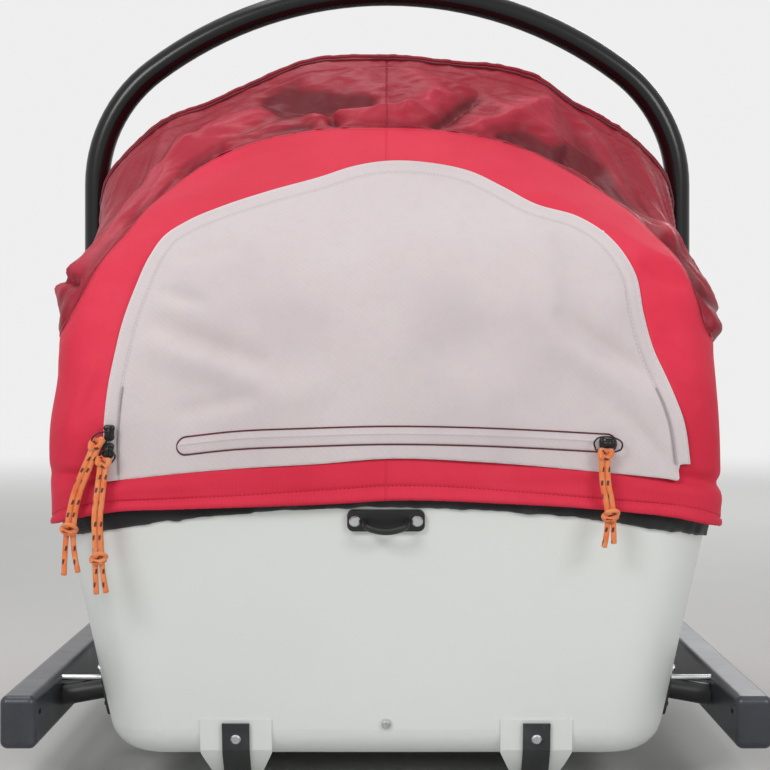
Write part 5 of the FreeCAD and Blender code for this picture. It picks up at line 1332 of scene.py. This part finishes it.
def bump(tree, shader, height, strength, distance):
    node = addNode(tree, "ShaderNodeBump", {"Height": height, "Strength": strength, "Distance": distance})
    tree.links.new(node.outputs[0], shader["Normal"])


def pieceValue(tree, name):
    return addNode(tree, "ShaderNodeAttribute", attribute_name=name).outputs["Fac"]


def dressCad(finish, *names):
    for name in names:
        for place in cad[name].material_slots:
            place.material = finish


def dressPiece(finish, *pieces):
    for piece in pieces:
        piece.data.materials.clear()
        piece.data.materials.append(finish)


clothFinish = {
    "red": {"base": (222, 50, 76), "deep": (202, 32, 58), "pale": (232, 72, 96), "size": 5.0, "amount": 0.5,
            "threads": 1250.0, "rough": 0.62, "sheen": 0.04},
    "hood": {"base": (148, 18, 40), "deep": (118, 8, 27), "pale": (164, 30, 52), "size": 7.0, "amount": 0.5,
             "threads": 1900.0, "rough": 0.42, "sheen": 0.0},
    "panel": {"base": (216, 204, 205), "deep": (196, 184, 186), "pale": (224, 214, 215), "size": 7.0, "amount": 0.5,
              "threads": 820.0, "rough": 0.78, "sheen": 0.15},
}


def makeRedFinish():
    f = clothFinish["red"]
    finish, tree, shader, at = newFinish("redSoftshell", Roughness=f["rough"], Sheen_Weight=f["sheen"],
                                         Sheen_Roughness=0.4, Specular_IOR_Level=0.22)
    tone = useGroup(tree, toneGroup, Vector=at["Object"], Base=rgb(*f["base"]), Deep=rgb(*f["deep"]),
                    Pale=rgb(*f["pale"]), Size=f["size"], Amount=f["amount"])["Colour"]
    weave = useGroup(tree, weaveGroup, Vector=at["UV"], Threads=f["threads"], Slant=0.6)
    toHem, toSeam, middle = pieceValue(tree, "toHem"), pieceValue(tree, "toSeam"), pieceValue(tree, "middle")
    hemRow = useGroup(tree, stitchGroup, Distance=toHem, Along=middle, Place=0.0115, Width=0.0005, Pitch=0.0034)
    seamRow = useGroup(tree, stitchGroup, Distance=toSeam, Along=middle, Place=0.0030, Width=0.0005, Pitch=0.0030)
    centre = ramp(tree, sums(tree, "ABSOLUTE", middle), 0.0016, 0.0)
    thread = sums(tree, "MAXIMUM", hemRow["Mask"], seamRow["Mask"])
    # fine ribs below the panel, where the hem is gathered on its cord
    ribs = sums(tree, "SINE", times(tree, middle, 2 * pi / 0.0029))
    ribs = times(tree, ribs, ramp(tree, toHem, 0.040, 0.006))
    shaded = blendColours(tree, times(tree, weave["Shade"], 0.16), tone, rgb(*f["deep"]))
    shaded = blendColours(tree, times(tree, thread, 0.75), shaded, rgb(150, 10, 34))
    shaded = blendColours(tree, times(tree, centre, 0.35), shaded, rgb(*f["deep"]))
    # painted highlight on the crests of the ribs
    ribCrestHighlight = times(tree, sums(tree, "MAXIMUM", ribs, 0.0), 0.10)
    shaded = blendColours(tree, ribCrestHighlight, shaded, rgb(*f["pale"]))
    tree.links.new(shaded, shader["Base Color"])
    grooves = greatest(tree, hemRow["Groove"], seamRow["Groove"], centre)
    height = sums(tree, "MULTIPLY_ADD", weave["Height"], 0.10, times(tree, grooves, -0.9))
    height = sums(tree, "MULTIPLY_ADD", ribs, 0.10, height)
    crumple = noise(tree, at["Object"], 34.0, 5.0, 0.62)
    bump(tree, shader, sums(tree, "MULTIPLY_ADD", crumple, 1.6, height), 0.55, 0.0011)
    return finish


def makeHoodFinish():
    f = clothFinish["hood"]
    finish, tree, shader, at = newFinish("thinNylon", Roughness=f["rough"], Sheen_Weight=f["sheen"],
                                         Sheen_Roughness=0.35, Specular_IOR_Level=0.32)
    tone = useGroup(tree, toneGroup, Vector=at["Object"], Base=rgb(*f["base"]), Deep=rgb(*f["deep"]),
                    Pale=rgb(*f["pale"]), Size=f["size"], Amount=f["amount"])["Colour"]
    weave = useGroup(tree, weaveGroup, Vector=at["UV"], Threads=f["threads"], Slant=0.0)
    toSeam, toEdge, middle = pieceValue(tree, "toSeam"), pieceValue(tree, "toEdge"), pieceValue(tree, "middle")
    rows = [useGroup(tree, stitchGroup, Distance=distance, Along=middle, Place=place, Width=0.0005, Pitch=0.0030)
            for distance, place in ((toSeam, 0.0035), (toEdge, 0.0190), (toEdge, 0.0045))]
    centre = ramp(tree, sums(tree, "ABSOLUTE", middle), 0.0014, 0.0)
    thread = greatest(tree, *(row["Mask"] for row in rows))
    groove = greatest(tree, rows[0]["Groove"], rows[1]["Groove"], centre)
    # painted shade in the fold valleys and painted highlight on the fold ridges
    fold = pieceValue(tree, "fold")
    foldShadeAndHighlight = blendColours(tree, ramp(tree, fold, -0.05, -0.9, 0.0, 0.85), tone, rgb(92, 3, 18))
    foldShadeAndHighlight = blendColours(tree, ramp(tree, fold, 0.15, 0.95, 0.0, 0.75), foldShadeAndHighlight, rgb(186, 46, 68))
    shaded = blendColours(tree, times(tree, thread, 0.7), foldShadeAndHighlight, rgb(96, 6, 22))
    shaded = blendColours(tree, times(tree, centre, 0.45), shaded, rgb(*f["deep"]))
    tree.links.new(shaded, shader["Base Color"])
    uneven = noise(tree, at["Object"], 24.0, 4.0, 0.6)
    tree.links.new(ramp(tree, uneven, 0.30, 0.70, f["rough"] - 0.04, f["rough"] + 0.08), shader["Roughness"])
    drawn = addNode(tree, "ShaderNodeMapping", {"Vector": at["Object"], "Scale": (1.0, 1.8, 2.0),
                                                "Rotation": (0.2, 0.5, 0.0)}).outputs[0]
    crumple = noise(tree, drawn, 24.0, 3.0, 0.5)
    height = sums(tree, "MULTIPLY_ADD", weave["Height"], 0.05, times(tree, groove, -0.9))
    bump(tree, shader, sums(tree, "MULTIPLY_ADD", crumple, 2.4, height), 0.5, 0.0016)
    return finish


def makePanelFinish():
    f = clothFinish["panel"]
    finish, tree, shader, at = newFinish("greySoftshell", Roughness=f["rough"], Sheen_Weight=f["sheen"],
                                         Sheen_Roughness=0.5, Specular_IOR_Level=0.3)
    tone = useGroup(tree, toneGroup, Vector=at["Object"], Base=rgb(*f["base"]), Deep=rgb(*f["deep"]),
                    Pale=rgb(*f["pale"]), Size=f["size"], Amount=f["amount"])["Colour"]
    # fine ribs on the slant that wander a little
    wander = noise(tree, at["UV"], 9.0, 2.0)
    aside = addNode(tree, "ShaderNodeCombineXYZ", {0: times(tree, wander, 0.010)}).outputs[0]
    shifted = addNode(tree, "ShaderNodeVectorMath", {0: at["UV"], 1: aside}, operation="ADD").outputs[0]
    weave = useGroup(tree, weaveGroup, Vector=shifted, Threads=f["threads"], Slant=0.85)
    coarse = useGroup(tree, weaveGroup, Vector=shifted, Threads=190.0, Slant=1.0)
    toRim, alongRim, toBottom = (pieceValue(tree, key) for key in ("toRim", "alongRim", "toBottom"))
    rows = [useGroup(tree, stitchGroup, Distance=distance, Along=along, Place=place, Width=0.00045, Pitch=0.0030)
            for distance, along, place in ((toRim, alongRim, 0.0108), (toRim, alongRim, 0.0022))]
    thread = sums(tree, "MAXIMUM", rows[0]["Mask"], rows[1]["Mask"])
    pale = sums(tree, "MAXIMUM", ramp(tree, toRim, 0.0014, 0.0006), ramp(tree, toBottom, 0.0014, 0.0006))
    coil = ramp(tree, pieceValue(tree, "toCoil"), 0.0009, 0.0004)
    coil = times(tree, coil, ramp(tree, toRim, 0.045, 0.049))
    shaded = blendColours(tree, times(tree, coarse["Height"], 0.10), tone, rgb(*f["deep"]))
    shaded = blendColours(tree, times(tree, weave["Shade"], 0.18), shaded, rgb(168, 158, 162))
    # painted shade in the stitched groove inside the rim
    shaded = blendColours(tree, times(tree, rows[0]["Groove"], 0.35), shaded, rgb(160, 150, 153))
    shaded = blendColours(tree, times(tree, thread, 0.6), shaded, rgb(226, 220, 222))
    shaded = blendColours(tree, times(tree, pale, 0.7), shaded, rgb(240, 236, 236))
    shaded = blendColours(tree, times(tree, coil, 0.45), shaded, rgb(170, 158, 162))
    tree.links.new(shaded, shader["Base Color"])
    crumple = noise(tree, at["Object"], 26.0, 4.0, 0.6)
    height = sums(tree, "MULTIPLY_ADD", weave["Height"], 0.16, times(tree, rows[0]["Groove"], -0.8))
    bump(tree, shader, sums(tree, "MULTIPLY_ADD", crumple, 1.5, height), 0.5, 0.0009)
    return finish


def makeCordFinish():
    # orange braid: strands crossing both ways with painted shade in the hollows between them, and dark tracer dashes
    # in pairs
    finish, tree, shader, at = newFinish("orangeBraid", Roughness=0.68, Sheen_Weight=0.3, Specular_IOR_Level=0.3)
    place = addNode(tree, "ShaderNodeSeparateXYZ", {0: at["UV"]}).outputs
    left = sums(tree, "MULTIPLY_ADD", place[0], 8.0, times(tree, place[1], 620.0))
    right = sums(tree, "MULTIPLY_ADD", place[0], -8.0, times(tree, place[1], 620.0))
    waves = [sums(tree, "ABSOLUTE", sums(tree, "SINE", times(tree, side, pi))) for side in (left, right)]
    height = times(tree, waves[0], waves[1])
    dashes = []
    for offset in (0.0, 0.5):
        turned = sums(tree, "FRACT", sums(tree, "ADD", sums(tree, "MULTIPLY_ADD", place[1], 14.0, place[0]), offset))
        near = ramp(tree, sums(tree, "ABSOLUTE", sums(tree, "SUBTRACT", turned, 0.5)), 0.085, 0.06)
        run = sums(tree, "FRACT", sums(tree, "MULTIPLY_ADD", place[1], 96.0, offset))
        long = ramp(tree, sums(tree, "ABSOLUTE", sums(tree, "SUBTRACT", run, 0.5)), 0.20, 0.16)
        dashes.append(times(tree, near, long))
    dark = sums(tree, "MAXIMUM", dashes[0], dashes[1])
    tone = useGroup(tree, toneGroup, Vector=at["Object"], Base=rgb(255, 158, 92), Deep=rgb(246, 116, 54),
                    Pale=rgb(255, 196, 140), Size=90.0, Amount=0.7)["Colour"]
    # painted shade where the braid is low between its strands
    shaded = blendColours(tree, ramp(tree, height, 0.35, 0.0), tone, rgb(222, 84, 36))
    marked = blendColours(tree, times(tree, dark, 0.92), shaded, rgb(66, 18, 26))
    tree.links.new(marked, shader["Base Color"])
    bump(tree, shader, height, 0.6, 0.0006)
    return finish


def makeHullFinish():
    finish, tree, shader, at = newFinish("whiteHull", Roughness=0.30, Specular_IOR_Level=0.5, Coat_Weight=0.12,
                                         Coat_Roughness=0.12)
    tone = useGroup(tree, toneGroup, Vector=at["Object"], Base=rgb(227, 230, 227), Deep=rgb(222, 226, 223),
                    Pale=rgb(231, 234, 231), Size=3.0, Amount=0.5)["Colour"]
    scuff = useGroup(tree, scuffGroup, Vector=at["Object"], Size=14.0, Amount=0.05)["Mask"]
    tree.links.new(blendColours(tree, scuff, tone, rgb(190, 196, 194)), shader["Base Color"])
    wave = noise(tree, at["Object"], 16.0, 2.0)
    fine = useGroup(tree, grainGroup, Vector=at["Object"], Size=520.0)["Height"]
    tree.links.new(ramp(tree, noise(tree, at["Object"], 6.0, 2.0), 0.3, 0.7, 0.31, 0.35), shader["Roughness"])
    bump(tree, shader, sums(tree, "MULTIPLY_ADD", wave, 1.2, times(tree, fine, 0.12)), 0.25, 0.0012)
    return finish


def makeDarkFinish(name, base, deep, pale, rough, grain=700.0, depth=0.00025, scuff=0.3, **constants):
    # dark plastic or painted metal with grain, scuffs and dust on its upper faces
    finish, tree, shader, at = newFinish(name, **constants)
    tone = useGroup(tree, toneGroup, Vector=at["Object"], Base=rgb(*base), Deep=rgb(*deep), Pale=rgb(*pale),
                    Size=14.0, Amount=0.6)["Colour"]
    marks = useGroup(tree, scuffGroup, Vector=at["Object"], Size=30.0, Amount=scuff)["Mask"]
    dust = useGroup(tree, dustGroup, Vector=at["Object"], Amount=0.10)["Mask"]
    marked = blendColours(tree, marks, tone, rgb(*pale))
    tree.links.new(blendColours(tree, dust, marked, rgb(150, 148, 144)), shader["Base Color"])
    rougher = sums(tree, "MULTIPLY_ADD", marks, 0.35, sums(tree, "MULTIPLY_ADD", dust, 0.6, rough), clamp=True)
    tree.links.new(rougher, shader["Roughness"])
    bump(tree, shader, useGroup(tree, grainGroup, Vector=at["Object"], Size=grain)["Height"], 0.4, depth)
    return finish


def makeTrimFinish():
    # matt black woven band with lint in its weave
    finish, tree, shader, at = newFinish("blackBinding", Roughness=0.85, Sheen_Weight=0.35, Sheen_Roughness=0.5,
                                         Specular_IOR_Level=0.25)
    tone = useGroup(tree, toneGroup, Vector=at["Object"], Base=rgb(34, 34, 37), Deep=rgb(18, 18, 20),
                    Pale=rgb(62, 62, 66), Size=26.0, Amount=0.6)["Colour"]
    place = addNode(tree, "ShaderNodeSeparateXYZ", {0: at["Object"]}).outputs
    ribs = sums(tree, "SINE", times(tree, sums(tree, "ADD", place[0], place[1]), 2 * pi * 420))
    rows = sums(tree, "SINE", times(tree, place[2], 2 * pi * 620))
    height = sums(tree, "MULTIPLY_ADD", times(tree, ribs, rows), 0.5, 0.5)
    lint = ramp(tree, noise(tree, at["Object"], 420.0, 5.0, 0.7), 0.60, 0.80)
    linted = blendColours(tree, times(tree, lint, 0.30), tone, rgb(104, 104, 108))
    tree.links.new(linted, shader["Base Color"])
    wrinkle = noise(tree, at["Object"], 60.0, 4.0)
    bump(tree, shader, sums(tree, "MULTIPLY_ADD", wrinkle, 3.0, height), 0.6, 0.0007)
    return finish


def makeWebFinish(name, base, deep, pale):
    # webbing: ribs across the strap's length
    finish, tree, shader, at = newFinish(name, Roughness=0.75, Sheen_Weight=0.25, Specular_IOR_Level=0.3)
    tone = useGroup(tree, toneGroup, Vector=at["Object"], Base=rgb(*base), Deep=rgb(*deep), Pale=rgb(*pale),
                    Size=30.0, Amount=0.5)["Colour"]
    weave = useGroup(tree, weaveGroup, Vector=at["UV"], Threads=420.0, Slant=0.3)
    woven = blendColours(tree, times(tree, weave["Shade"], 0.3), tone, rgb(*deep))
    tree.links.new(woven, shader["Base Color"])
    bump(tree, shader, weave["Height"], 0.7, 0.0006)
    return finish


def makeSteelFinish(name, base, rough, metallic=1.0):
    # turned metal with fine rings of polish and small marks
    finish, tree, shader, at = newFinish(name, Metallic=metallic)
    tone = useGroup(tree, toneGroup, Vector=at["Object"], Base=rgb(*base), Deep=rgb(*(0.8 * np.array(base))),
                    Pale=rgb(*np.minimum(1.08 * np.array(base), 255)), Size=60.0, Amount=0.5)["Colour"]
    tree.links.new(tone, shader["Base Color"])
    marks = useGroup(tree, scuffGroup, Vector=at["Object"], Size=90.0, Amount=0.5)["Mask"]
    tree.links.new(sums(tree, "MULTIPLY_ADD", marks, 0.3, rough), shader["Roughness"])
    bump(tree, shader, noise(tree, at["Object"], 900.0, 3.0), 0.15, 0.0001)
    return finish


def makeFilmFinish():
    # clear film: sharp reflections, a few soft waves
    finish, tree, shader, at = newFinish("clearFilm", Roughness=0.06, IOR=1.45, Specular_IOR_Level=0.5,
                                         Alpha=0.32, Coat_Weight=0.3)
    tone = useGroup(tree, toneGroup, Vector=at["Object"], Base=rgb(214, 222, 222), Deep=rgb(196, 206, 208),
                    Pale=rgb(230, 234, 234), Size=8.0, Amount=0.5)["Colour"]
    tree.links.new(tone, shader["Base Color"])
    bump(tree, shader, noise(tree, at["Object"], 9.0, 3.0), 0.35, 0.004)
    return finish


def makePadFinish():
    # knitted polyester: fine crossed threads over soft drifts of grey
    finish, tree, shader, at = newFinish("padKnit", Roughness=0.82, Sheen_Weight=0.3, Specular_IOR_Level=0.25)
    tone = useGroup(tree, toneGroup, Vector=at["Object"], Base=rgb(112, 116, 122), Deep=rgb(92, 96, 102),
                    Pale=rgb(132, 136, 142), Size=9.0, Amount=0.5)["Colour"]
    turned = addNode(tree, "ShaderNodeMapping", {"Vector": at["Object"], "Rotation": (0.6, 0.0, 0.0)}).outputs[0]
    weave = useGroup(tree, weaveGroup, Vector=turned, Threads=420.0, Slant=0.2)
    woven = blendColours(tree, times(tree, weave["Shade"], 0.35), tone, rgb(78, 82, 88))
    tree.links.new(woven, shader["Base Color"])
    crumple = noise(tree, at["Object"], 38.0, 4.0, 0.6)
    bump(tree, shader, sums(tree, "MULTIPLY_ADD", crumple, 1.2, weave["Height"]), 0.6, 0.0008)
    return finish


padFinish = makePadFinish()
redFinish, hoodFinish, panelFinish = makeRedFinish(), makeHoodFinish(), makePanelFinish()
cordFinish = makeCordFinish()
hullFinish, trimFinish, filmFinish = makeHullFinish(), makeTrimFinish(), makeFilmFinish()
barFinish = makeDarkFinish("barGloss", (7, 7, 8), (3, 3, 4), (14, 14, 16), 0.27, 120.0, 0.000015, 0.05,
                           Specular_IOR_Level=0.30, Coat_Weight=0.12, Coat_Roughness=0.16)
armFinish = makeDarkFinish("armAlloy", (66, 68, 74), (48, 50, 55), (96, 99, 107), 0.34, 900.0, 0.00008, 0.25,
                           Metallic=0.55)
capFinish = makeDarkFinish("capPlastic", (40, 40, 43), (26, 26, 28), (74, 74, 78), 0.52, 800.0, 0.0003, 0.35)
blackFinish = makeDarkFinish("blackPlastic", (24, 24, 26), (14, 14, 16), (58, 58, 62), 0.42, 700.0, 0.0003, 0.3)
stripFinish = makeDarkFinish("stripSteel", (54, 56, 58), (38, 40, 42), (92, 94, 96), 0.42, 500.0, 0.0002, 0.5,
                             Metallic=0.4)
zipFinish = makeWebFinish("zipTape", (198, 188, 190), (170, 158, 161), (214, 206, 207))
darkZipAndShadowFinish = makeWebFinish("darkZip", (104, 12, 30), (60, 6, 18), (140, 30, 50))
zipMetalFinish = makeDarkFinish("sliderEnamel", (12, 12, 13), (6, 6, 7), (40, 40, 43), 0.18, 500.0, 0.0001, 0.2,
                                Specular_IOR_Level=0.3, Coat_Weight=0.3, Coat_Roughness=0.08)
steelFinish = makeSteelFinish("brightSteel", (206, 208, 210), 0.26)
washerFinish = makeSteelFinish("paleWasher", (216, 218, 216), 0.45, 0.2)
seatFinish = makeDarkFinish("seatShell", (96, 100, 106), (80, 84, 90), (124, 128, 134), 0.55, 600.0, 0.0003, 0.25)
strapFinish = makeWebFinish("strapWeb", (30, 30, 33), (14, 14, 16), (62, 62, 66))

dressPiece(redFinish, redCloth, frontCover)
dressPiece(hoodFinish, hoodCloth, hoodPiping)
dressPiece(panelFinish, greyPanel, pocketTongue)
# the dark zip finish also colours the pocket's painted shadow line
dressPiece(darkZipAndShadowFinish, pocketEdgeAndShadowLine, hoodZip)
dressPiece(zipFinish, *sideZips)
dressPiece(trimFinish, windowBinding, rimBand)
dressPiece(cordFinish, *upperPull, *lowerPull, *pocketPull)
dressPiece(zipMetalFinish, *zipSliders)
dressCad(hullFinish, "hull")
dressCad(stripFinish, "runner_strip_left", "runner_strip_right")
dressCad(blackFinish, "tow_eye", "bow_sockets", "bracket_left", "bracket_right", "bar_foot_left", "bar_foot_right",
         "bar_hub_left", "bar_hub_right", "harness_buckle")
dressCad(barFinish, "bar_tube", "rear_bow", "front_bow")
dressCad(armFinish, "arm_outer_shell_left", "arm_outer_shell_right", "arm_inner_shell_left", "arm_inner_shell_right")
dressCad(capFinish, "shaft_socket_left", "shaft_socket_right")
dressCad(steelFinish, "transom_screws", "bracket_screws", "arm_screws_left", "arm_screws_right", "stop_rod_left",
         "stop_rod_right")
dressCad(washerFinish, "drain_washer")
dressPiece(filmFinish, windowFilm)
dressCad(seatFinish, "seat_shell")
dressPiece(strapFinish, *bands)
dressPiece(padFinish, *seatPads)
print("finishes made")


# studio: pale floor that fades into a pale room, soft lights from both sides behind the camera and above

studio = {
    "floorRadius": 7.0, "fadeFrom": 1.3, "fadeTo": 5.5, "floorColour": (214, 214, 212),
    "room": 0.86, "roomLight": 0.36,
    "lights": (     # name, place, size, watts
        ("leftBox", (-1.5, -2.9, 1.9), (1.1, 0.9), 35.0), ("rightBox", (1.7, -2.7, 1.6), (1.0, 0.8), 24.0),
        ("topBox", (-0.3, -0.2, 2.9), (1.6, 1.2), 22.0), ("farBox", (1.0, 2.8, 1.8), (1.6, 1.2), 20.0),
    ),
}


def makeStudio(s):
    turn = np.linspace(0, 2 * pi, 96, endpoint=False)
    reach = np.linspace(0.02, s["floorRadius"], 24)[:, None]
    points = np.stack([reach * np.cos(turn), reach * np.sin(turn), 0 * reach * turn - 0.0005], -1)
    floor = gridMesh("studioFloor", points, closedAcross=True, flip=True)
    paper = bpy.data.materials.new("floorPaper")
    paper.use_nodes = True
    tree = paper.node_tree
    shader = tree.nodes["Principled BSDF"]
    shader.inputs["Roughness"].default_value = 0.9
    shader.inputs["Specular IOR Level"].default_value = 0.1
    at = tree.nodes.new("ShaderNodeTexCoord").outputs["Object"]
    tone = useGroup(tree, toneGroup, Vector=at, Base=rgb(*s["floorColour"]), Deep=rgb(208, 208, 206),
                    Pale=rgb(220, 220, 218), Size=1.5, Amount=0.3)["Colour"]
    tree.links.new(tone, shader.inputs["Base Color"])
    away = addNode(tree, "ShaderNodeVectorMath", {0: at}, operation="LENGTH").outputs["Value"]
    clear = tree.nodes.new("ShaderNodeBsdfTransparent").outputs[0]
    both = addNode(tree, "ShaderNodeMixShader", {0: ramp(tree, away, s["fadeFrom"], s["fadeTo"]),
                                                 1: shader.outputs[0], 2: clear})
    tree.links.new(both.outputs[0], tree.nodes["Material Output"].inputs["Surface"])
    floor.data.materials.append(paper)
    for name, place, size, watts in s["lights"]:
        data = bpy.data.lights.new(name, "AREA")
        data.shape = "RECTANGLE"
        data.size, data.size_y = size
        data.energy = watts
        light = bpy.data.objects.new(name, data)
        bpy.context.scene.collection.objects.link(light)
        light.location = place
        light.rotation_euler = (Vector((0, -0.2, 0.35)) - Vector(place)).to_track_quat("-Z", "Y").to_euler()
    world = bpy.data.worlds.new("studioRoom")
    bpy.context.scene.world = world
    world.use_nodes = True
    tree = world.node_tree
    ray = tree.nodes.new("ShaderNodeLightPath").outputs
    seen = greatest(tree, *(ray["Is " + kind + " Ray"] for kind in ("Camera", "Glossy", "Transmission")))
    strength = sums(tree, "MULTIPLY_ADD", seen, s["room"] - s["roomLight"], s["roomLight"])
    back = tree.nodes["Background"]
    back.inputs["Color"].default_value = (1, 1, 1, 1)
    tree.links.new(strength, back.inputs["Strength"])
    bpy.context.scene.view_settings.view_transform = "Standard"


makeStudio(studio)
print("studio made")
